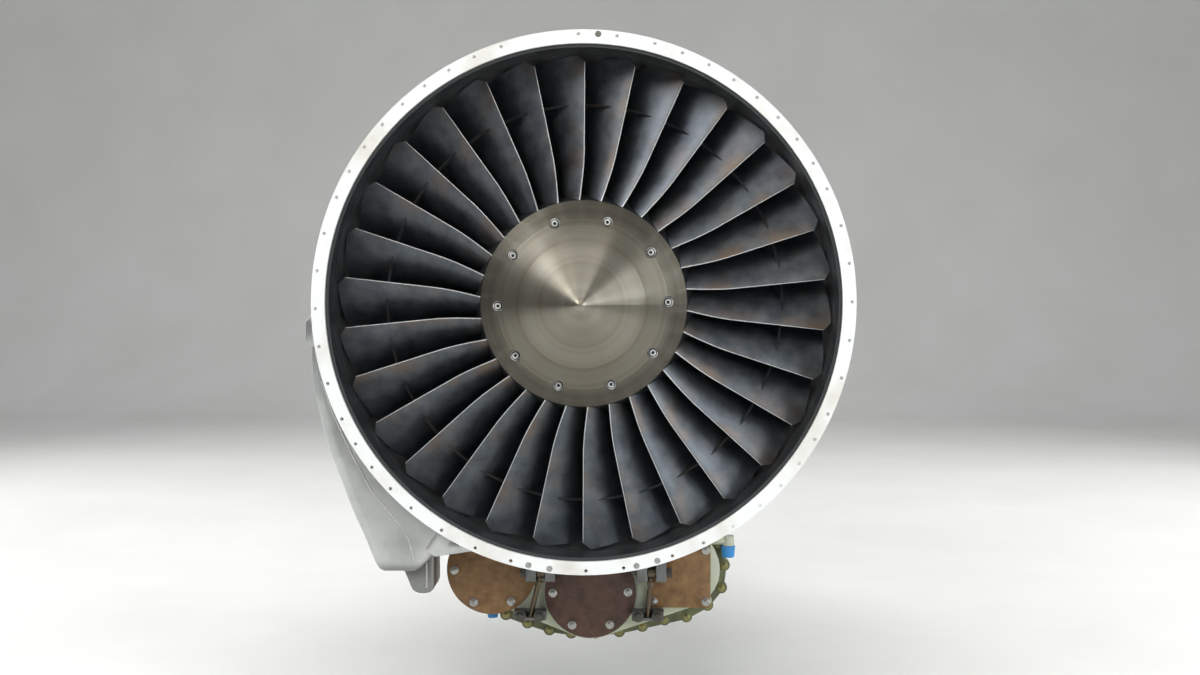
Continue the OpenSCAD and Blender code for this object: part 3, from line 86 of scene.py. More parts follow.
# %% Helpers
def add(mat, kind, inputs=None, **settings):
    """One node. inputs gives its sockets by name or number, each a value or an output to link."""
    made = mat.node_tree.nodes.new("ShaderNode" + kind)
    for key, value in settings.items():
        setattr(made, key, value)
    for key, value in (inputs or {}).items():
        if isinstance(value, bpy.types.NodeSocket):
            mat.node_tree.links.new(value, made.inputs[key])
        else:
            made.inputs[key].default_value = value
    return made


def calc(mat, operation, a, b=0.0):
    return add(mat, "Math", {0: a, 1: b}, operation=operation).outputs[0]


def place(mat):
    """The point being shaded, in millimetres of the part's own frame."""
    point = add(mat, "TexCoord").outputs["Object"]
    return add(mat, "VectorMath", {0: point, "Scale": 1000.0}, operation="SCALE").outputs[0]


def along(mat, axis):
    """Where the point being shaded lies along one axis, in mm. Y gives its station."""
    return add(mat, "SeparateXYZ", {0: place(mat)}).outputs[axis]


def radius_at(mat):
    """The shaded point's distance from the engine axis, in mm."""
    across, up = (calc(mat, "POWER", calc(mat, "ABSOLUTE", along(mat, axis)), 2.0) for axis in "XZ")
    return calc(mat, "SQRT", calc(mat, "ADD", across, up))


def noise(mat, size, detail=3.0, stretch=(1, 1, 1), rough=0.5):
    """Cloudy pattern from 0 to 1 whose patches are about size mm across, drawn out by stretch."""
    scale = [1 / (size * s) for s in stretch]
    scaled = add(mat, "VectorMath", {0: place(mat), 1: scale}, operation="MULTIPLY")
    return add(mat, "TexNoise", {"Vector": scaled.outputs[0], "Scale": 1.0, "Detail": detail,
                                 "Roughness": rough}).outputs["Fac"]


def bands(mat, value, size, detail):
    """Bands from 0 to 1 along one value in mm, each about size mm wide."""
    return add(mat, "TexNoise", {"W": calc(mat, "DIVIDE", value, size), "Scale": 1.0, "Detail": detail},
               noise_dimensions="1D").outputs["Fac"]


def ramp(mat, fac, low, high, start=0.0, end=1.0):
    """fac taken from the range low..high to start..end, and held at the ends."""
    return add(mat, "MapRange", {0: fac, 1: low, 2: high, 3: start, 4: end}).outputs[0]


def blend(mat, fac, a, b):
    """Two colours mixed. Each is a palette name or an output."""
    pair = [linear(c) if isinstance(c, str) else c for c in (a, b)]
    return add(mat, "Mix", {0: fac, 6: pair[0], 7: pair[1]}, data_type="RGBA").outputs[2]


def bump(mat, height, depth):
    """Bump of depth mm."""
    return add(mat, "Bump", {"Height": height, "Strength": 1.0, "Distance": depth * MM}).outputs[0]


def material(name, **fixed):
    """A new material and a function that sets or links the sockets of its shader."""
    mat = bpy.data.materials.new(name)
    mat.use_nodes = True
    shader = mat.node_tree.nodes["Principled BSDF"]

    def wear(**sockets):
        for key, value in sockets.items():
            socket = shader.inputs[key.replace("_", " ")]
            if isinstance(value, bpy.types.NodeSocket):
                mat.node_tree.links.new(value, socket)
            else:
                socket.default_value = linear(value) if isinstance(value, str) else value

    wear(**fixed)
    return mat, wear


print("helpers ready")

# %% [markdown]
# ## Finishes
# One short function for each family of finishes, called again with other colours where a real engine
# has the same finish in another tone.


# %% Paint, board and plastic
LINER_FRONT = 5.0


def enamel(name):
    """Satin white enamel, a little stained, with its coat worn thin in small spots."""
    mat, wear = material(name, Metallic=0.0, Coat_Weight=0.25, Coat_Roughness=0.25)
    stain = ramp(mat, noise(mat, 90, 4), 0.5, 0.75)
    wear_and_highlight = ramp(mat, noise(mat, 7, 5, rough=0.7), 0.66, 0.72)
    colour = blend(mat, stain, "enamel", "enamel_stain")
    wear(Base_Color=blend(mat, wear_and_highlight, colour, "enamel_worn"),
         Roughness=ramp(mat, noise(mat, 25, 3), 0.3, 0.7, 0.3, 0.46),
         Normal=bump(mat, noise(mat, 2.2, 2), 0.05))
    return mat


def rubbed_black(name):
    """Matt filled liner, polished grey in streaks that run round the bore, with a felt front edge."""
    mat, wear = material(name, Metallic=0.0)
    edge = ramp(mat, along(mat, "Y"), LINER_FRONT + 0.6, LINER_FRONT + 1.4, 1.0, 0.0)
    weave = noise(mat, 1.6, 2)
    felt = calc(mat, "MULTIPLY", edge, ramp(mat, weave, 0.35, 0.6, 0.35, 1.0))
    streak = ramp(mat, noise(mat, 30, 4, (1, 0.15, 1)), 0.45, 0.8)
    body = blend(mat, streak, "liner", "liner_edge")
    wear(Base_Color=blend(mat, felt, body, "liner_edge"),
         Roughness=ramp(mat, streak, 0.0, 1.0, 0.55, 0.38), Normal=bump(mat, weave, 0.12))
    return mat


def board(name, base, mark):
    """Pressed board cut for a blanking plate: mottled, scuffed and faintly brushed."""
    mat, wear = material(name, Metallic=0.0)
    mottle = ramp(mat, noise(mat, 18, 5, rough=0.65), 0.35, 0.7)
    scuff = ramp(mat, noise(mat, 5, 4, (4, 1, 0.5), 0.7), 0.64, 0.74)
    colour = blend(mat, mottle, base, mark)
    wear(Base_Color=blend(mat, calc(mat, "MULTIPLY", scuff, 0.16), colour, "sheet"),
         Roughness=ramp(mat, mottle, 0.0, 1.0, 0.42, 0.6), Normal=bump(mat, noise(mat, 1.5, 3), 0.08))
    return mat


def moulded(name, base, rough):
    """Moulded plastic with a fine grain."""
    mat, wear = material(name, Base_Color=base, Metallic=0.0)
    wear(Roughness=ramp(mat, noise(mat, 12, 3), 0.3, 0.7, rough, rough + 0.12),
         Normal=bump(mat, noise(mat, 0.8, 2), 0.03))
    return mat


# %% Metals
def turned_metal(name, base, pale, rough, pitch=0.9):
    """Metal turned on a lathe: fine rings round the engine axis that draw the light out into rays."""
    mat, wear = material(name, Metallic=0.92, Anisotropic=0.9, Anisotropic_Rotation=0.25)
    radius = radius_at(mat)
    ring = bands(mat, calc(mat, "ADD", radius, along(mat, "Y")), pitch, 4.0)
    broad = bands(mat, radius, 16.0, 2.0)
    smudge = ramp(mat, noise(mat, 28, 4), 0.45, 0.75)
    colour = blend(mat, ramp(mat, broad, 0.3, 0.7), base, pale)
    shine = ramp(mat, ring, 0.3, 0.7, rough - 0.03, rough + 0.05)
    wear(Base_Color=blend(mat, calc(mat, "MULTIPLY", smudge, 0.3), colour, "sheet_smudge"),
         Roughness=calc(mat, "ADD", shine, calc(mat, "MULTIPLY", smudge, 0.06)),
         Tangent=add(mat, "Tangent", direction_type="RADIAL", axis="Y").outputs[0],
         Normal=bump(mat, ring, 0.006))
    return mat


def cast_metal(name, base, dark, rough):
    """Cast or blasted alloy: a fine even grain, with darker and duller clouds and specks."""
    mat, wear = material(name, Metallic=0.9)
    cloud = ramp(mat, noise(mat, 40, 5), 0.35, 0.7)
    speck = ramp(mat, noise(mat, 3.5, 4, rough=0.7), 0.6, 0.72)
    colour = blend(mat, calc(mat, "MULTIPLY", cloud, 0.6), base, dark)
    wear(Base_Color=blend(mat, calc(mat, "MULTIPLY", speck, 0.4), colour, dark),
         Roughness=ramp(mat, cloud, 0.0, 1.0, rough, rough + 0.14),
         Normal=bump(mat, noise(mat, 1.4, 3), 0.06))
    return mat


def sheet_metal(name):
    """Formed sheet alloy, satin all over, with smears along the axis and painted shade darkening its bottom
    edge.
    """
    mat, wear = material(name, Metallic=0.92, Anisotropic=0.25)
    rub = ramp(mat, noise(mat, 26, 3, (1, 4, 1.6)), 0.35, 0.75)
    smear = ramp(mat, noise(mat, 60, 4), 0.45, 0.72)
    # Painted shade: the colour darkens towards steel_dark over the lowest 18 mm, from z -368 mm down to -386
    # mm.
    grime_and_shade = ramp(mat, along(mat, "Z"), -386.0, -368.0, 0.7, 0.0)
    colour = blend(mat, calc(mat, "MULTIPLY", smear, 0.55), "sheet", "sheet_smudge")
    colour = blend(mat, grime_and_shade, colour, "steel_dark")
    wear(Base_Color=blend(mat, calc(mat, "MULTIPLY", rub, 0.25), colour, "enamel_worn"),
         Roughness=ramp(mat, rub, 0.0, 1.0, 0.3, 0.4), Normal=bump(mat, noise(mat, 40, 2), 0.3))
    return mat


def heat_metal(name, first, last):
    """Nickel alloy that has run hot: pale straw at station first, brown and blue towards last."""
    mat, wear = material(name, Metallic=1.0)
    drift = ramp(mat, noise(mat, 60, 4), 0.3, 0.7, -0.25, 0.25)
    wave = calc(mat, "ADD", ramp(mat, along(mat, "Y"), first, last), drift)
    straw = blend(mat, ramp(mat, wave, 0.1, 0.55), "heat_pale", "heat_brown")
    colour = blend(mat, ramp(mat, wave, 0.55, 1.0), straw, "heat_blue")
    wear(Base_Color=colour, Roughness=ramp(mat, noise(mat, 14, 4), 0.3, 0.7, 0.34, 0.5),
         Normal=bump(mat, noise(mat, 3, 3), 0.05))
    return mat


def plated(name, base, dark, rough=0.28, metallic=1.0):
    """Plated or polished steel fasteners, with grime in small patches."""
    mat, wear = material(name, Metallic=metallic)
    grime_and_shade = ramp(mat, noise(mat, 4, 4), 0.5, 0.75)
    wear(Base_Color=blend(mat, calc(mat, "MULTIPLY", grime_and_shade, 0.6), base, dark),
         Roughness=ramp(mat, grime_and_shade, 0.0, 1.0, rough, rough + 0.18),
         Normal=bump(mat, noise(mat, 1.1, 2), 0.02))
    return mat


def green_casting(name, flange_first, flange_last):
    """Pale treated casting whose joint flange, between two stations, is left olive."""
    mat, wear = material(name, Metallic=0.1)
    station = along(mat, "Y")
    inside = calc(mat, "MULTIPLY", ramp(mat, station, flange_first - 0.4, flange_first),
                  ramp(mat, station, flange_last, flange_last + 0.4, 1.0, 0.0))
    cloud = ramp(mat, noise(mat, 22, 5), 0.35, 0.7)
    pale = blend(mat, calc(mat, "MULTIPLY", cloud, 0.35), "pale_green", "enamel_stain")
    olive = blend(mat, cloud, "olive", "olive_dark")
    wear(Base_Color=blend(mat, inside, pale, olive), Roughness=ramp(mat, cloud, 0.0, 1.0, 0.42, 0.58),
         Normal=bump(mat, noise(mat, 1.6, 3), 0.08))
    return mat


def blade_metal(name):
    """Worn dark titanium. The surface map runs from leading to trailing edge and from root to tip.
    Its pale leading-edge band is partly wear to bare metal, partly painted highlight.
    """
    mat, wear = material(name, Metallic=0.8)
    across = add(mat, "SeparateXYZ", {0: add(mat, "TexCoord").outputs["UV"]}).outputs["X"]
    cloud = ramp(mat, noise(mat, 60, 3), 0.48, 0.7)
    tint = calc(mat, "MULTIPLY", cloud, ramp(mat, across, 0.0, 0.45, 0.55, 0.0))
    streak = ramp(mat, noise(mat, 26, 4, rough=0.55), 0.3, 0.75)
    body = blend(mat, calc(mat, "MULTIPLY", streak, 0.5), "graphite", "graphite_pale")
    cool = blend(mat, ramp(mat, across, 0.35, 1.0, 0.0, 0.55), body, "blade_blue")
    tinted = blend(mat, tint, cool, "blade_tan")
    ragged = ramp(mat, noise(mat, 3, 3), 0.3, 0.7, -0.002, 0.002)
    # Pale leading-edge band: partly worn bare metal, partly painted highlight.
    edge_wear_and_highlight = ramp(mat, calc(mat, "ADD", across, ragged), 0.005, 0.011, 1.0, 0.0)
    wear(Base_Color=blend(mat, edge_wear_and_highlight, tinted, "blade_edge"),
         Roughness=ramp(mat, streak, 0.0, 1.0, 0.38, 0.48), Normal=bump(mat, noise(mat, 2.0, 3), 0.015))
    return mat


print("finishes defined")

# %% [markdown]
# ## Dressing the solid nodes
# Every node of the solid model that stays in view, or shows through an opening, gets a real finish.

# %% Finishes by node
GEARBOX_SPLIT = 196.0
WHITE = enamel("white_enamel")
ALLOY = cast_metal("cast_alloy", "alloy", "alloy_dark", 0.4)
STEEL = plated("plated_steel", "steel", "steel_dark")
SHEET = sheet_metal("sheet_alloy")
GREEN = green_casting("treated_casting", GEARBOX_SPLIT - 9.0, GEARBOX_SPLIT + 8.3)
DARK_STEEL = plated("dark_steel", "steel_dark", "liner_edge", 0.36)
GEAR = plated("ground_steel", "gear", "steel_dark", 0.24)
HOT = heat_metal("hot_section", 700.0, 1200.0)
FINISHES = {
    WHITE: ["fan_case"],
    rubbed_black("fan_liner_felt"): ["fan_liner"],
    turned_metal("spun_spinner", "spun", "spun_pale", 0.34): ["spinner"],
    # Painted highlight: the spinner's screws are coloured near-white enamel with little metal, standing for
    # the glint of plated steel.
    plated("spinner_screw_painted_highlight", "enamel", "bright", 0.2, 0.3): ["spinner_bolts"],
    cast_metal("hub_titanium", "platform", "graphite", 0.38): ["fan_disk"],
    cast_metal("vane_titanium", "graphite", "liner", 0.4): ["bypass_vanes", "core_inlet_vanes"],
    ALLOY: ["fan_frame", "gear_housing", "mount_pads", "radial_drive_housing", "lp_compressor_case",
            "interstage_duct", "impeller_shroud", "diffuser"],
    GEAR: ["fan_shaft", "ring_gear", "gear_carrier", "lp_shaft", "impeller", "lp_compressor_rotor",
           "lp_compressor_vanes", "bearing_outer_rings", "fan_bearing_rollers"]
          + ["planet_gear_%d" % k for k in range(1, 6)],
    HOT: ["plenum_case", "combustor_liner", "high_pressure_nozzle", "high_pressure_turbine",
          "lp_turbine_rotor", "lp_turbine_case", "exhaust_frame", "core_nozzle", "tail_cone"],
    SHEET: ["oil_tank", "bypass_duct_outer", "bypass_duct_inner", "tank_brackets"],
    cast_metal("sump_alloy", "sheet_smudge", "heat_pale", 0.36): ["tank_sump", "oil_tubes"],
    GREEN: ["gearbox_front_housing", "gearbox_rear_housing"],
    board("tan_board", "tan_board", "tan_mark"): ["left_pad_cover", "right_pad_cover"],
    board("brown_board", "brown_board", "brown_mark"): ["centre_pad_cover"],
    STEEL: ["case_bolts", "pad_cover_bolts", "fuel_nozzles", "fuel_manifold", "igniter_plugs"],
    plated("golden_bolts", "brass", "olive", 0.36): ["gearbox_bolts"],
    plated("rod_steel", "rod_brown", "steel_dark", 0.34): ["gearbox_links"],
    cast_metal("bracket_grey", "bracket", "steel_dark", 0.42): ["link_brackets"],
    DARK_STEEL: ["link_bolts"],
    moulded("blue_cap", "cap_blue", 0.3): ["protective_caps"],
}
for mat, names in FINISHES.items():
    for name in names:
        if not nodes[name].material_slots:
            nodes[name].data.materials.append(mat)
        for held in nodes[name].material_slots:
            held.material = mat
print(sum(len(n) for n in FINISHES.values()), "nodes dressed with", len(FINISHES), "finishes")

# %% [markdown]
# ## Fan blades
# The blade keeps the solid model's lean, twist and section, with more stations along the chord and the
# span. Its tip falls inwards towards the back, the bevel of its leading corner is larger than the
# solid's, and its mid-span shroud is thinner.

# %% Blade shape
BLADES = 30
HUB_FRONT, HUB_REAR = (43.0, 148.0), (118.0, 172.0)
TIP_R, TIP_BEVEL, BEVEL_SHARE, TIP_CONE = 358.0, 11.0, 0.13, 0.2
ROOT_CHORD_Y, TIP_CHORD_Y = 74.0, 46.0
ROOT_STAGGER, TIP_STAGGER = 23.0, 61.0
ROOT_THICK, TIP_THICK = 9.0, 3.0
TIP_FRONT_Y = 55.0
HUB_GAP = 0.3
ROOT_CAMBER, TIP_CAMBER = 0.13, 0.03
THICK_SCALE, THICK_FALL, TRAILING_SHARE = 2.418, 0.45, 0.12
ROOT_LEAN, LEAN_SPAN = -2.3, 0.35
FIRST_BLADE = 0.3
CHORD_STOPS = [0, 0.002, 0.006, 0.012, 0.022, 0.04, 0.07, 0.1, 0.13, 0.17, 0.24, 0.34, 0.46,
               0.6, 0.74, 0.88, 1]
SPAN_STOPS = [k / 32 for k in range(33)]


def mix(a, b, t):
    return a + (b - a) * t


def hub_radius(y):
    return mix(HUB_FRONT[1], HUB_REAR[1], (y - HUB_FRONT[0]) / (HUB_REAR[0] - HUB_FRONT[0]))


def blade_point(span, chord, side):
    """A point of the blade in mm, on its front side (1) or rear side (-1)."""
    depth = mix(ROOT_CHORD_Y, TIP_CHORD_Y, span ** 0.8)
    turn = math.radians(mix(ROOT_STAGGER, TIP_STAGGER, span ** 0.75))
    length = depth / math.cos(turn)
    half = THICK_SCALE * (math.sqrt(chord) - chord) * (1 - THICK_FALL * chord) + TRAILING_SHARE * chord
    off = mix(ROOT_CAMBER, TIP_CAMBER, span) * length * 4 * chord * (1 - chord)
    off += side * half * mix(ROOT_THICK, TIP_THICK, span ** 0.6) / 2
    y = mix(HUB_FRONT[0] + 1, TIP_FRONT_Y, span ** 0.8) + chord * depth - off * math.sin(turn)
    sweep = -chord * length * math.sin(turn) - off * math.cos(turn)
    tip = TIP_R - TIP_BEVEL * max(0, 1 - chord / BEVEL_SHARE) - TIP_CONE * max(0, y - TIP_FRONT_Y)
    radius = mix(hub_radius(y) + HUB_GAP, tip, span)
    clock = math.radians(ROOT_LEAN * (1 - min(1, span / LEAN_SPAN)) ** 2) + sweep / radius
    return radius * math.sin(clock), y, radius * math.cos(clock)


print("tip radius", TIP_R, "mm")


# %% Blade mesh
def new_piece(name, bm, mat, body):
    """Turns a bmesh in mm into a piece in metres, with one material, riding on a body."""
    mesh = bpy.data.meshes.new(name)
    bmesh.ops.scale(bm, vec=(MM, MM, MM), verts=bm.verts)
    bmesh.ops.recalc_face_normals(bm, faces=bm.faces)
    bm.to_mesh(mesh)
    bm.free()
    piece = bpy.data.objects.new(name, mesh)
    bpy.context.scene.collection.objects.link(piece)
    mesh.materials.append(mat)
    mesh.shade_smooth()
    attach(piece, body)
    return piece


def add_skin(bm, rings, uv=None, coords=None, closed_ends=True):
    """Skin over rings of points. coords gives each point's surface map, ring by ring."""
    made = [[bm.verts.new(p) for p in ring] for ring in rings]
    count = len(rings[0])
    for k in range(len(rings) - 1):
        for i in range(count):
            j = (i + 1) % count
            face = bm.faces.new((made[k][i], made[k][j], made[k + 1][j], made[k + 1][i]))
            if uv:
                for loop, (a, b) in zip(face.loops, ((k, i), (k, j), (k + 1, j), (k + 1, i))):
                    loop[uv].uv = coords[a][b]
    if closed_ends:
        for ring, chart in ((made[0], 0), (made[-1], len(rings) - 1)):
            face = bm.faces.new(ring)
            if uv:
                for loop, spot in zip(face.loops, coords[chart]):
                    loop[uv].uv = spot


def turned_about(point, clock):
    """A point turned round the engine axis by a clock angle in radians."""
    x, y, z = point
    return x * math.cos(clock) + z * math.sin(clock), y, -x * math.sin(clock) + z * math.cos(clock)


SHROUD_R, SHROUD_T, SHROUD_DEPTH = 286.0, 3.2, 18.0
SHROUD_GAP = 0.3
SHROUD_SPAN = (SHROUD_R - hub_radius(80.0)) / (TIP_R - hub_radius(80.0))
SHROUD_CHORD = 0.42
SHROUD_SIDES, SHROUD_STEPS = 16, 6


def shroud_section(clock, y):
    """Lens-shaped section of a mid-span shroud at a clock angle, with its sharp edge forward."""
    points = []
    for k in range(SHROUD_SIDES):
        turn = 2 * math.pi * k / SHROUD_SIDES
        half = SHROUD_T / 2 * abs(math.sin(turn)) ** 1.4 * (1 if math.sin(turn) > 0 else -1)
        radius = SHROUD_R + half
        station = y - SHROUD_DEPTH / 2 * math.cos(turn)
        points.append((radius * math.sin(clock), station, radius * math.cos(clock)))
    return points


def add_shroud(bm, uv, side, offset):
    """Half of a shroud, from inside the blade to the plane where it meets the next blade's half."""
    hip = blade_point(SHROUD_SPAN, SHROUD_CHORD, 0)
    start = math.atan2(hip[0], hip[2])
    meet = start - side * (math.pi / BLADES) + side * SHROUD_GAP / 2 / SHROUD_R
    root = blade_point(SHROUD_SPAN, SHROUD_CHORD, side * 0.2)
    rings = []
    for k in range(SHROUD_STEPS + 1):
        share = k / SHROUD_STEPS
        section = shroud_section(mix(start, meet, share), mix(root[1], hip[1] + 1, share))
        rings.append([turned_about(p, offset) for p in section])
    # The shroud's end, where it meets the next blade's, takes the pale leading-edge colour: partly wear,
    # partly painted highlight.
    wear_and_highlight = [0.05] * SHROUD_STEPS + [0.0]
    coords = [[(across, 0.5)] * SHROUD_SIDES for across in wear_and_highlight]
    add_skin(bm, rings, uv, coords)


def fan():
    """All thirty blades with their shrouds, as one piece."""
    bm = bmesh.new()
    uv = bm.loops.layers.uv.new("span")
    around_section = [(t, 1) for t in CHORD_STOPS] + [(t, -1) for t in reversed(CHORD_STOPS[1:])]
    for k in range(BLADES):
        offset = math.radians(FIRST_BLADE + 360 / BLADES * k)
        rings = [[turned_about(blade_point(s, t, side), offset) for t, side in around_section]
                 for s in SPAN_STOPS]
        coords = [[(t, s) for t, side in around_section] for s in SPAN_STOPS]
        add_skin(bm, rings, uv, coords)
        add_shroud(bm, uv, 1, offset)
        add_shroud(bm, uv, -1, offset)
    piece = new_piece("fan_blade_set", bm, blade_metal("blade_titanium"), "fan_rotor")
    piece.data.set_sharp_from_angle(angle=math.radians(40))
    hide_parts("fan_blades")
    return piece


blades = fan()
print("fan:", len(blades.data.polygons), "faces")

# %% [markdown]
# ## Plates, discs and rods
# The fittings below are cut from plate or turned. One function makes a plate with eased edges from an
# outline, and the outlines keep clear of the round fan case.


# %% Outlines
CASE_CLEAR = 388.0


def circle(centre, radius, count=48, start=0.0):
    """Outline of a disc, as [x, z] points. A count of six gives a hexagon."""
    turns = [start + 2 * math.pi * k / count for k in range(count)]
    return [(centre[0] + radius * math.sin(a), centre[1] + radius * math.cos(a)) for a in turns]


def hull(points):
    """Outline that a band stretched round the points would have."""
    def chain(ordered):
        kept = []
        for p in ordered:
            while len(kept) > 1 and ((kept[-1][0] - kept[-2][0]) * (p[1] - kept[-2][1])
                                     <= (kept[-1][1] - kept[-2][1]) * (p[0] - kept[-2][0])):
                kept.pop()
            kept.append(p)
        return kept[:-1]

    ordered = sorted(set(points))
    return chain(ordered) + chain(ordered[::-1])


def off_case(outline, radius=CASE_CLEAR, step=4.0):
    """The outline with whatever lies inside the radius moved straight out to it."""
    dense = []
    for a, b in zip(outline, outline[1:] + outline[:1]):
        count = max(1, round(math.dist(a, b) / step))
        dense += [(mix(a[0], b[0], k / count), mix(a[1], b[1], k / count)) for k in range(count)]
    grown = [max(1, radius / math.hypot(x, z)) for x, z in dense]
    return [(x * grow, z * grow) for (x, z), grow in zip(dense, grown)]


def slab(bm, outline, front, back, edge):
    """Plate between two stations with its edges eased by edge mm."""
    area = sum(a[0] * b[1] - b[0] * a[1] for a, b in zip(outline, outline[1:] + outline[:1]))
    side = 1 if area > 0 else -1

    def ring(inset, station):
        points = []
        for a, p, b in zip(outline[-1:] + outline[:-1], outline, outline[1:] + outline[:1]):
            reach = math.hypot(b[0] - a[0], b[1] - a[1]) or 1.0
            across, up = side * inset * (b[1] - a[1]) / reach, side * inset * (b[0] - a[0]) / reach
            points.append((p[0] - across, station, p[1] + up))
        return points

    add_skin(bm, [ring(edge, front), ring(edge * 0.3, front + edge * 0.3), ring(0, front + edge),
                  ring(0, back - edge), ring(edge * 0.3, back - edge * 0.3), ring(edge, back)])


def pipe(bm, route, radius, sides):
    """Round bar or pipe along a route. radius is a number or one for each point."""
    rings = []
    for k, point in enumerate(route):
        ahead = (Vector(route[min(k + 1, len(route) - 1)]) - Vector(route[max(k - 1, 0)])).normalized()
        across = ahead.cross((0, 0, 1) if abs(ahead.z) < 0.9 else (1, 0, 0)).normalized()
        up = ahead.cross(across)
        size = radius[k] if isinstance(radius, (list, tuple)) else radius
        rings.append([Vector(point) + size * (across * math.cos(a) + up * math.sin(a))
                      for a in (2 * math.pi * i / sides for i in range(sides))])
    add_skin(bm, rings)


def fitted(name, bm, mat, body, *replaced, angle=32):
    """A piece with crisp edges that stands for solid nodes."""
    piece = new_piece(name, bm, mat, body)
    piece.data.set_sharp_from_angle(angle=math.radians(angle))
    if replaced:
        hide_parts(*replaced)
    return piece


print("plate helpers ready")

# %% [markdown]
# ## Spinner screws
# Ten socket screws sit on washers in the spinner's pockets, near white with little metal as a painted
# highlight. The dark disc and the dark hexagon behind each screw stand for the shadow in its pocket and in
# its socket.

# %% Spinner screws
SCREWS, SCREW_RING, FIRST_SCREW = 10, 120.0, 16.7
WASHER = [(7.6, 13.9), (7.6, 12.7), (7.4, 12.4), (6.2, 12.4), (6.0, 12.7), (6.0, 13.9)]
HEAD = [(4.7, 13.9), (4.7, 8.0), (4.3, 7.6)]
SOCKET_R, SOCKET_FRONT, SOCKET_FLOOR = 2.4, 7.6, 11.0
SIDES_PER_FLAT = 7
SHADOWS = [(8.1, 40, 13.3, 13.9), (2.5, 6, 9.6, 10.9)]


def layered(bm, layers, closed_ends=True):
    """Skin through outlines, each at its own station."""
    add_skin(bm, [[(x, y, z) for x, z in outline] for outline, y in layers], closed_ends=closed_ends)


def spinner_screws():
    """The screws with their washers, and the dark shapes behind them, painted shadow, as a piece of their
    own.
    """
    screws, shadows = bmesh.new(), bmesh.new()
    for k in range(SCREWS):
        turn = math.radians(FIRST_SCREW + 360 / SCREWS * k)
        spot = (SCREW_RING * math.sin(turn), SCREW_RING * math.cos(turn))
        layered(screws, [(circle(spot, r, 40), y) for r, y in WASHER], closed_ends=False)
        well = [corner for corner in circle(spot, SOCKET_R, 6) for _ in range(SIDES_PER_FLAT)]
        layered(screws, [(circle(spot, r, 6 * SIDES_PER_FLAT), y) for r, y in HEAD]
                + [(well, SOCKET_FRONT), (well, SOCKET_FLOOR)])
        for radius, count, front, back in SHADOWS:
            slab(shadows, circle(spot, radius, count), front, back, 0.1)
    fitted("spinner_screws", screws, bpy.data.materials["spinner_screw_painted_highlight"], "fan_rotor", "spinner_bolts")
    # Painted shadow: dark discs in the pockets and dark hexagons in the sockets, in the liner's black.
    fitted("screw_pocket_painted_shadows", shadows, bpy.data.materials["fan_liner_felt"], "fan_rotor")


spinner_screws()
print("spinner screws made")

# %% [markdown]
# ## Oil tank
# A welded sheet box wraps the left of the case. Its outline is read from the photograph at the widest
# station, and its front edge is rolled.

# %% Tank shape
TANK_FRONT, TANK_DEPTH, TANK_IN, TANK_EDGE = 24.0, 132.0, 376.0, 17.0
TANK_FLOOR, TANK_FIRST, TANK_LAST = 385.6, 210.8, 261.0
END_DEG, END_ROUND, END_FALL = 1.9, 13.0, 0.35
TANK_ROLL, EDGE_SHARE = 5.0, 0.45
STRAIGHT_TO, CORNER_TO = 218.0, 219.4
TANK_TABLE = [(210.8, 426), (212, 454.8), (216.7, 481), (217.6, 482.8), (218.6, 480), (223.2, 461),
              (227.9, 447.4), (233.3, 433.4), (240.4, 421.3), (248, 410.6), (255.7, 400.2), (261, 393)]
END_STOPS = [0, 0.1, 0.3, 0.6, 1.0, 1.45, 1.9, 2.9, 3.9, 4.9, 5.9, 6.4, 6.8, 7.2, 7.8]


def tank_radius(clock):
    """Outer radius at a clock angle in degrees: a curve through the table, cut level at the floor."""
    last = len(TANK_TABLE) - 1
    k = min(max(sum(1 for c, _ in TANK_TABLE if c <= clock) - 1, 0), last - 1)
    rows = [TANK_TABLE[min(max(k + i, 0), last)] for i in (-1, 0, 1, 2)]
    (c0, r0), (c1, r1), (c2, r2), (c3, r3) = rows
    share = (clock - c1) / (c2 - c1)
    before = (r2 - r0) / (c2 - c0) * (c2 - c1)
    after = (r3 - r1) / (c3 - c1) * (c2 - c1)
    if c1 < STRAIGHT_TO:
        before = after = r2 - r1
    smooth = (2 * share ** 3 - 3 * share ** 2 + 1) * r1 + (share ** 3 - 2 * share ** 2 + share) * before
    smooth += (-2 * share ** 3 + 3 * share ** 2) * r2 + (share ** 3 - share ** 2) * after
    return min(smooth, TANK_FLOOR / math.cos(math.radians(clock - 180)))


def tank_section(clock):
    """Ring of points round the tank at a clock angle."""
    inset = END_ROUND * (1 - math.sqrt(1 - max(0, 1 - (clock - TANK_FIRST) / END_DEG) ** 2))
    outer = tank_radius(clock) - END_FALL * inset
    edge = min(TANK_EDGE, (outer - TANK_IN) * EDGE_SHARE)
    front, back = TANK_FRONT + inset, TANK_FRONT + TANK_DEPTH - inset
    inner = TANK_IN + TANK_ROLL
    corners = [(inner, front + TANK_ROLL, TANK_ROLL, 180, 5), (outer - edge, front + edge, edge, 270, 12),
               (outer - edge, back - edge, edge, 0, 12), (inner, back - TANK_ROLL, TANK_ROLL, 90, 5)]
    ring = []
    for radius, station, size, first, count in corners:
        for k in range(count + 1):
            a = math.radians(first + 90 * k / count)
            ring.append((radius + size * math.cos(a), station + size * math.sin(a)))
    turn = math.radians(clock)
    return [(r * math.sin(turn), y, r * math.cos(turn)) for r, y in ring]


def oil_tank():
    bm = bmesh.new()
    stops = [TANK_FIRST + d for d in END_STOPS]
    stops += [mix(CORNER_TO, TANK_LAST, k / 40) for k in range(41)]
    add_skin(bm, [tank_section(c) for c in stops])
    return fitted("oil_tank_shell", bm, SHEET, "casings", "oil_tank", angle=50)


tank = oil_tank()
print("tank:", len(tank.data.polygons), "faces")

# %% [markdown]
# The weld runs where the photograph shows it: each of its points is carried from the camera on to the
# tank's skin, and the bead is laid there with the small ripples that a hand weld has.


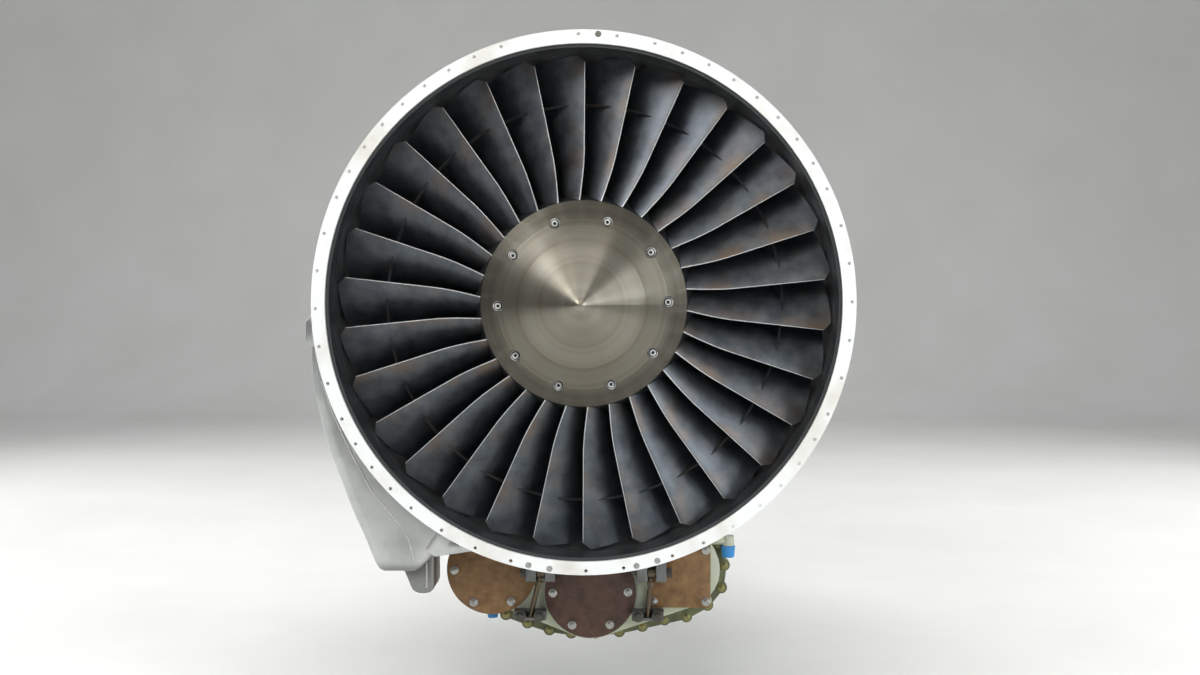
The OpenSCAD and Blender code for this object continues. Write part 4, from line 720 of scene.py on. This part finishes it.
# %% Welds
PHOTO_SCALE, PHOTO_MID = 1420.0, (627.63, 281.82)
EYE_X, EYE_AHEAD, EYE_Z = 63.0, 2000.0, 28.0
WELD_LINE = [(320.7, 378), (332, 410), (350, 450), (371, 490), (383.6, 505), (396.3, 520.9),
             (407.5, 538.4), (412.1, 556), (413.2, 564)]
SUMP_WELD = [(-231, 70, -379), (-231.4, 70, -417)]


def seen_at(px, py, depth):
    """The point in mm at a station that the photograph shows at a pixel."""
    far = (EYE_AHEAD + depth) / PHOTO_SCALE
    return Vector(((px - PHOTO_MID[0]) * far + EYE_X, depth, EYE_Z - (py - PHOTO_MID[1]) * far))


def on_skin(skin, px, py):
    """Where the line of sight through a pixel meets a skin, in mm."""
    near, far = seen_at(px, py, 0.0) * MM, seen_at(px, py, 150.0) * MM
    spot = skin.ray_cast(near, (far - near).normalized())[0]
    return spot / MM if spot else None


def bead(bm, points, radius=1.5, pitch=2.0):
    """Weld bead through the points, rippled every pitch mm."""
    route, sizes = [], []
    for a, b in zip(points, points[1:]):
        count = max(1, round((b - a).length / (pitch / 4)))
        for k in range(count):
            route.append(a.lerp(b, k / count))
            sizes.append(radius * (1.0 + 0.16 * math.sin(len(route) * math.pi / 2)))
    pipe(bm, route, sizes, 8)


def seam_points(piece, pixels, step=4):
    """Points on a piece under a line of pixels."""
    found = []
    mesh = piece.data
    skin = BVHTree.FromPolygons([v.co for v in mesh.vertices], [f.vertices for f in mesh.polygons])
    for a, b in zip(pixels, pixels[1:]):
        count = max(1, round(math.dist(a, b) / step))
        found += [on_skin(skin, mix(a[0], b[0], k / count), mix(a[1], b[1], k / count)) for k in range(count)]
    return [p for p in found if p]


def welds():
    bm = bmesh.new()
    bead(bm, seam_points(tank, WELD_LINE))
    bead(bm, [Vector(p) for p in SUMP_WELD])
    return fitted("tank_weld", bm, cast_metal("weld_metal", "bright", "weld", 0.3), "casings", angle=60)


seam = welds()
print("weld:", len(seam.data.polygons), "faces")

# %% Sump and brackets
SUMP = [(-266.3, -385.9), (-241.4, -385.9), (-229.8, -376.6), (-220.3, -368.7), (-220.3, -414),
        (-222, -419.5), (-226.6, -423.6), (-234, -425.2), (-242, -425), (-247.5, -423.2),
        (-251.8, -420.4), (-255, -414)]
SUMP_FRONT, SUMP_BACK = 70, 138
STRAP = [(-209.9, -326.7), (-226, -352.3), (-212, -361.3), (-160.7, -353.4), (-148, -338), (-196, -312)]
STRAP_BOLT = (-183.7, -346.7)
LUG = [(-372.5, -58.6), (-404, -63.6), (-412, -55), (-412, -28), (-405, -18), (-374, -16)]
LUG_BOLT = (-399, -42)
PLATE_CLEAR, PLATE_T = 370, 4
STRAP_FRONT, LUG_FRONT, LUG_T = 19.7, 96, 5


def tank_fittings():
    bm = bmesh.new()
    slab(bm, SUMP, SUMP_FRONT, SUMP_BACK, 2.0)
    fitted("tank_sump_box", bm, bpy.data.materials["sump_alloy"], "casings", "tank_sump", angle=60)
    bm = bmesh.new()
    slab(bm, off_case(STRAP, PLATE_CLEAR), STRAP_FRONT, STRAP_FRONT + PLATE_T, 0.8)
    slab(bm, off_case(LUG, PLATE_CLEAR), LUG_FRONT, LUG_FRONT + LUG_T, 0.8)
    slab(bm, circle(STRAP_BOLT, 9.8), 17.7, 21, 0.8)
    slab(bm, circle(STRAP_BOLT, 5.8), 13.1, 18, 0.8)
    slab(bm, circle(LUG_BOLT, 5.6, 6), 91.2, 96.2, 0.6)
    fitted("tank_straps", bm, SHEET, "casings", "tank_brackets")


tank_fittings()
print("tank fittings made")

# %% [markdown]
# ## Accessory gearbox
# Two castings meet at a scalloped flange. Three drive pads on the front are blanked with board covers.
# The flange's first four lobes lie behind the left cover and are shown without bolts.

# %% Castings
PADS = [(-142.6, -404.3), (6.9, -438.7), (143.5, -405.7)]
PAD_R = [50, 73, 60]
FLANGE_BOLTS = [(-188.2, -366.1), (-202, -409), (-191.3, -438.4), (-165.8, -459.1), (-125, -483.2),
                (-91.5, -496), (-57.6, -506.6), (-23.9, -511.4), (13.5, -511.4), (50.3, -508.9),
                (86, -500.5), (120.4, -490.3), (154.2, -485.4), (186.7, -467.2), (207.8, -440),
                (212.1, -405), (202, -371.5)]
BOX_FRONT, BOX_END, FLANGE_T = 150.0, 288.0, 8.0
LOBE_R, WEB = 9.0, 4.0
HIDDEN_LOBES = 4
COVER_FRONT, COVER_BACK = 143.7, 149.7
SQUARE_AT, SQUARE = (142.1, -412.8), (93.0, 97.0)
PAD_BOLT_RING, FIRST_PAD_BOLT = 57, 29
SQUARE_BOLT_X, SQUARE_BOLT_Z, PAD_BOLT_CLEAR = 39.7, 39.2, 399
PORT_Y, DOWN_PORT_X, SIDE_PORT_X, SIDE_PORT_Z = 172, -144, 217, -363
FEED_PORT_Y, FEED_PORT_Z = 216, -388


def six_round(pad):
    """The places of six bolts round a pad."""
    turns = [math.radians(FIRST_PAD_BOLT + 60 * k) for k in range(6)]
    return [(pad[0] + PAD_BOLT_RING * math.sin(a), pad[1] + PAD_BOLT_RING * math.cos(a)) for a in turns]


PAD_BOLTS = [p for p in six_round(PADS[0]) + six_round(PADS[1])
             + [(SQUARE_AT[0] + SQUARE_BOLT_X * sx, SQUARE_AT[1] + SQUARE_BOLT_Z * sz)
                for sx in (-1, 1) for sz in (-1, 1)]
             if math.hypot(*p) > PAD_BOLT_CLEAR]


def body_outlines(grow):
    """Two outlines that overlap, each round two neighbouring pads."""
    discs = [circle(pad, radius + grow) for pad, radius in zip(PADS, PAD_R)]
    return [off_case(hull(discs[k] + discs[k + 1])) for k in (0, 1)]


def flange(bm, front):
    """One half of the scalloped joint flange."""
    web = hull([p for b in FLANGE_BOLTS for p in circle(b, WEB, 24)])
    slab(bm, off_case(web), front, front + FLANGE_T, 0.8)
    for b in FLANGE_BOLTS:
        slab(bm, circle(b, LOBE_R, 32), front - 0.5, front + FLANGE_T, 0.8)


def castings():
    bm = bmesh.new()
    for k, outline in enumerate(body_outlines(0)):
        slab(bm, outline, BOX_FRONT + 5 + 0.02 * k, GEARBOX_SPLIT - 0.4, 2.0)
    for pad, radius in zip(PADS, PAD_R):
        slab(bm, off_case(circle(pad, radius - 1)), BOX_FRONT + 0.05, BOX_FRONT + 8, 1.0)
    for p in PAD_BOLTS:
        slab(bm, circle(p, LOBE_R, 32), BOX_FRONT, BOX_FRONT + 30, 1.0)
    pipe(bm, [(DOWN_PORT_X, PORT_Y, z) for z in (-418, -468.3)], 9.5, 32)
    pipe(bm, [(x, PORT_Y, SIDE_PORT_Z) for x in (176, SIDE_PORT_X)], 7, 32)
    pipe(bm, [(SIDE_PORT_X, PORT_Y, z) for z in (-371.2, -356.2)], 9, 32)
    flange(bm, GEARBOX_SPLIT - FLANGE_T)
    fitted("gearbox_front_casting", bm, GREEN, "casings", "gearbox_front_housing")
    bm = bmesh.new()
    for k, outline in enumerate(body_outlines(-6)):
        slab(bm, outline, GEARBOX_SPLIT + 1, BOX_END - 0.02 * k, 3.0)
    for pad, radius in zip(PADS, PAD_R):
        slab(bm, off_case(circle(pad, radius - 18)), BOX_END - 4, BOX_END + 10, 1.0)
    pipe(bm, [(x, FEED_PORT_Y, FEED_PORT_Z) for x in (-194, -168)], 10, 32)
    flange(bm, GEARBOX_SPLIT + 0.3)
    fitted("gearbox_rear_casting", bm, GREEN, "casings", "gearbox_rear_housing")


castings()
print("castings made")


# %% Covers and bolts
def hex_bolt(bm, spot, front, back, radius, head, turn, nut=True):
    """Hex head on a washer, with its shank and nut."""
    shank, washer = radius * 0.62, radius * 1.42
    slab(bm, circle(spot, radius, 6, turn), front - 1.4 - head, front - 1.2, 0.6)
    slab(bm, circle(spot, shank, 24, turn), front - 1.7 - head, front - 1.2 - head, 0.2)
    slab(bm, circle(spot, washer), front - 1.4, front, 0.3)
    slab(bm, circle(spot, shank, 24), front - 0.5, back + 1, 0.3)
    if nut:
        slab(bm, circle(spot, radius, 6, turn + 0.4), back, back + head, 0.6)


def board_cover(name, outline, mat, node):
    bm = bmesh.new()
    slab(bm, off_case(outline, CASE_CLEAR + 2), COVER_FRONT, COVER_BACK, 0.5)
    fitted(name, bm, mat, "casings", node)


def covers():
    tan, brown = bpy.data.materials["tan_board"], bpy.data.materials["brown_board"]
    half_w, half_h = SQUARE[0] / 2, SQUARE[1] / 2
    signs = [(-1, -1), (1, -1), (1, 1), (-1, 1)]
    corners = [(SQUARE_AT[0] + half_w * sx, SQUARE_AT[1] + half_h * sz) for sx, sz in signs]
    board_cover("left_board", circle(PADS[0], 68.3, 96), tan, "left_pad_cover")
    board_cover("centre_board", circle(PADS[1], 69.3, 96), brown, "centre_pad_cover")
    board_cover("right_board", corners, tan, "right_pad_cover")
    bm = bmesh.new()
    for k, p in enumerate(PAD_BOLTS):
        hex_bolt(bm, p, COVER_FRONT, COVER_BACK, 4.6, 4.4, 0.7 * k, nut=False)
    fitted("cover_bolts", bm, STEEL, "casings", "pad_cover_bolts")
    bm = bmesh.new()
    front, back = GEARBOX_SPLIT - FLANGE_T - 0.5, GEARBOX_SPLIT + FLANGE_T + 0.3
    for k, p in enumerate(FLANGE_BOLTS[HIDDEN_LOBES:]):
        hex_bolt(bm, p, front, back, 4.4, 3.4, 0.9 * k)
    fitted("flange_bolts", bm, bpy.data.materials["golden_bolts"], "casings", "gearbox_bolts")


covers()
print(len(PAD_BOLTS), "cover bolts")

# %% [markdown]
# ## Hangers, feed pipe and caps
# Two adjustable rods hold the gearbox under the fan case. Each is pinned at the top and stands in a
# slotted foot.

# %% Hangers
HANGERS = [(-67.0, -83.5, -1), (99.0, 93.4, 1)]
HANGER_Y, HANGER_TOP, HANGER_FOOT = 126.0, -404.0, -474.0
FORK_CLEAR, HEEL_BACK = 374.6, 142.8
FORK = [(-22, -12), (-22, 38), (22, 38), (22, -12), (6.6, -12), (6.6, 14), (-6.6, 14), (-6.6, -12)]
HEEL = [(-24, -2), (24, -2), (24, 12), (8, 12), (8, 2.5), (-8, 2.5), (-8, 12), (-24, 12)]


def on_rod(top, foot, share):
    """A point of a hanger's centre line, from its pin to its foot."""
    return mix(top, foot, share), HANGER_Y, mix(HANGER_TOP, HANGER_FOOT, share)


def pin(bm, x, first, last, radius, sides):
    """A bar along the hanger's pin, between two distances from x."""
    pipe(bm, [(x + first, HANGER_Y, HANGER_TOP), (x + last, HANGER_Y, HANGER_TOP)], radius, sides)


def moved(outline, x, z):
    return [(x + a, z + b) for a, b in outline]


def hangers():
    rods, brackets, bolts = bmesh.new(), bmesh.new(), bmesh.new()
    for top, foot, side in HANGERS:
        pipe(rods, [on_rod(top, foot, t) for t in (0.1, 0.5, 1.02)], 4, 24)
        pipe(rods, [on_rod(top, foot, t) for t in (0.2, 0.3)], 6.5, 6)
        pin(rods, top, -5.5, 5.5, 9, 32)
        fork = off_case(moved(FORK, top, HANGER_TOP), FORK_CLEAR)
        slab(brackets, fork, HANGER_Y - 14, HANGER_Y + 8, 1.0)
        slab(brackets, moved(HEEL, foot, HANGER_FOOT), HANGER_Y - 8, HEEL_BACK, 1.0)
        left = -17 if side < 0 else -22
        stem = [(left, -2), (20, -2), (20, 9), (left, 9)]
        slab(brackets, moved(stem, foot, HANGER_FOOT), HEEL_BACK - 0.8, BOX_FRONT + 4.6, 0.5)
        pin(bolts, top, -30, 30, 4.5, 24)
        pin(bolts, top, side * 23.5, side * 30.5, 8, 6)
        for s in (-1, 1):
            spot = (foot + 14.5 * s, HANGER_FOOT + 5)
            slab(bolts, circle(spot, 8.6), HANGER_Y - 9.6, HANGER_Y - 8, 0.3)
            slab(bolts, circle(spot, 5.6), HANGER_Y - 15.5, HANGER_Y - 9.5, 0.8)
            slab(bolts, circle(spot, 4.0), HANGER_Y - 9, BOX_FRONT + 4, 0.3)
    fitted("hanger_rods", rods, bpy.data.materials["rod_steel"], "casings", "gearbox_links")
    fitted("hanger_brackets", brackets, bpy.data.materials["bracket_grey"], "casings", "link_brackets")
    fitted("hanger_bolts", bolts, DARK_STEEL, "casings", "link_bolts")


hangers()
print("hangers made")


# %% Pipe and caps
def plumbing():
    bm = bmesh.new()
    route = [(-232, 156.3, -370), (-232, 190, -370), (-231, 202, -372), (-225, 212, -380),
             (-214, FEED_PORT_Y, -387), (-204, FEED_PORT_Y, FEED_PORT_Z), (-194.3, FEED_PORT_Y, FEED_PORT_Z)]
    pipe(bm, route, 7, 24)
    fitted("feed_pipe", bm, bpy.data.materials["sump_alloy"], "casings", "oil_tubes")
    bm = bmesh.new()
    down_cap, side_cap = (-468.6, -469.6, -482.6, -483.6), (-371.5, -372.5, -388, -389)
    pipe(bm, [(DOWN_PORT_X, PORT_Y, z) for z in down_cap], [7.4, 8, 8, 7.2], 32)
    pipe(bm, [(SIDE_PORT_X, PORT_Y, z) for z in side_cap], [10.4, 11, 9.6, 8.8], 32)
    fitted("blue_caps", bm, bpy.data.materials["blue_cap"], "casings", "protective_caps")


plumbing()
print("caps made")

# %% [markdown]
# ## Camera, floor and light
# The camera stands 2 m in front of the flange, 63 mm to the right of the axis and 28 mm above it. From
# there its view of the flange's ring fits the photograph's. Plain soft panels light the engine, and a
# few narrow ones give the polished spinner something to reflect.

# %% Camera
CAMERA_PLACE = (0.063, -2.0, 0.028)
CAMERA_DOWN, CAMERA_LEFT = 2.14, 1.11
LENS, SENSOR = 42.78, 36.0
lens = bpy.data.cameras.new("camera")
lens.lens = LENS
lens.sensor_width = SENSOR
camera = bpy.data.objects.new("camera", lens)
camera.location = CAMERA_PLACE
camera.rotation_euler = (math.radians(90 - CAMERA_DOWN), 0, math.radians(CAMERA_LEFT))
bpy.context.scene.collection.objects.link(camera)
bpy.context.scene.camera = camera
print("camera at", CAMERA_PLACE)


# %% Floor and backdrop
def pale_surface(name, colour):
    mat, wear = material(name, Metallic=0.0)
    wear(Base_Color=blend(mat, ramp(mat, noise(mat, 400, 4), 0.3, 0.7, 0.0, 0.5), colour, "wall"),
         Roughness=ramp(mat, noise(mat, 60, 3), 0.3, 0.7, 0.5, 0.62), Normal=bump(mat, noise(mat, 6, 3), 0.1))
    return mat


def studio():
    """One sheet: a floor that curves up into a back wall."""
    bm = bmesh.new()
    bend, floor_z, front_y, wall_y, top_z, half = 1.2, -0.62, -7.0, 6.0, 7.0, 9.0
    path = [(front_y, floor_z), (wall_y - bend, floor_z)]
    path += [(wall_y - bend + bend * math.sin(a), floor_z + bend - bend * math.cos(a))
             for a in (math.radians(7.5 * k) for k in range(1, 13))]
    path.append((wall_y, top_z))
    rows = [[bm.verts.new((x, y, z)) for x in (-half, half)] for y, z in path]
    for near, far in zip(rows, rows[1:]):
        bm.faces.new((near[0], near[1], far[1], far[0]))
    mesh = bpy.data.meshes.new("studio")
    bm.to_mesh(mesh)
    bm.free()
    mesh.shade_smooth()
    sheet = bpy.data.objects.new("studio", mesh)
    mesh.materials.append(pale_surface("studio_floor", "floor"))
    bpy.context.scene.collection.objects.link(sheet)


studio()
print("floor laid")


# %% Lights
def panel(name, spot, size, watts, colour=(1, 1, 1), target=(0, 0.1, 0)):
    """A soft rectangular light that faces target."""
    light = bpy.data.lights.new(name, "AREA")
    light.shape = "RECTANGLE"
    light.size, light.size_y = size
    light.energy = watts
    light.color = colour
    lamp = bpy.data.objects.new(name, light)
    lamp.location = spot
    lamp.rotation_euler = (Vector(target) - Vector(spot)).to_track_quat("-Z", "Y").to_euler()
    bpy.context.scene.collection.objects.link(lamp)


panel("key", (-2.4, -2.6, 2.6), (2.2, 1.6), 90)
panel("fill", (3.0, -2.2, 1.2), (1.6, 2.2), 45)
panel("overhead", (0, 0.9, 2.8), (2.6, 1.8), 70)
panel("back_left", (-2.6, 2.4, 1.4), (1.2, 2.0), 45, target=(0, 0.6, 0))
panel("back_right", (2.6, 2.4, 1.4), (1.2, 2.0), 45, target=(0, 0.6, 0))
panel("streak_left", (-0.9, -2.4, 1.5), (0.12, 0.9), 7, (1.0, 0.86, 0.55))
panel("streak_top", (0.45, -2.4, 1.7), (0.1, 0.9), 6, (1.0, 0.88, 0.62))
panel("streak_right", (2.0, -2.2, 0.35), (0.5, 0.16), 14, (0.93, 1.0, 1.0))
print("lights on")

# %% World
world = bpy.data.worlds.new("studio_air")
world.use_nodes = True
bpy.context.scene.world = world
height = add(world, "SeparateXYZ", {0: add(world, "TexCoord").outputs["Generated"]}).outputs["Z"]
shade = add(world, "ValToRGB", {"Fac": height})
shade.color_ramp.elements[0].position = 0.0
shade.color_ramp.elements[0].color = (0.16, 0.155, 0.15, 1)
shade.color_ramp.elements[1].position = 0.55
shade.color_ramp.elements[1].color = (0.62, 0.64, 0.66, 1)
backdrop = world.node_tree.nodes["Background"]
backdrop.inputs["Strength"].default_value = 0.7
world.node_tree.links.new(shade.outputs["Color"], backdrop.inputs["Color"])
bpy.context.scene.view_settings.view_transform = "Standard"
print("world set")
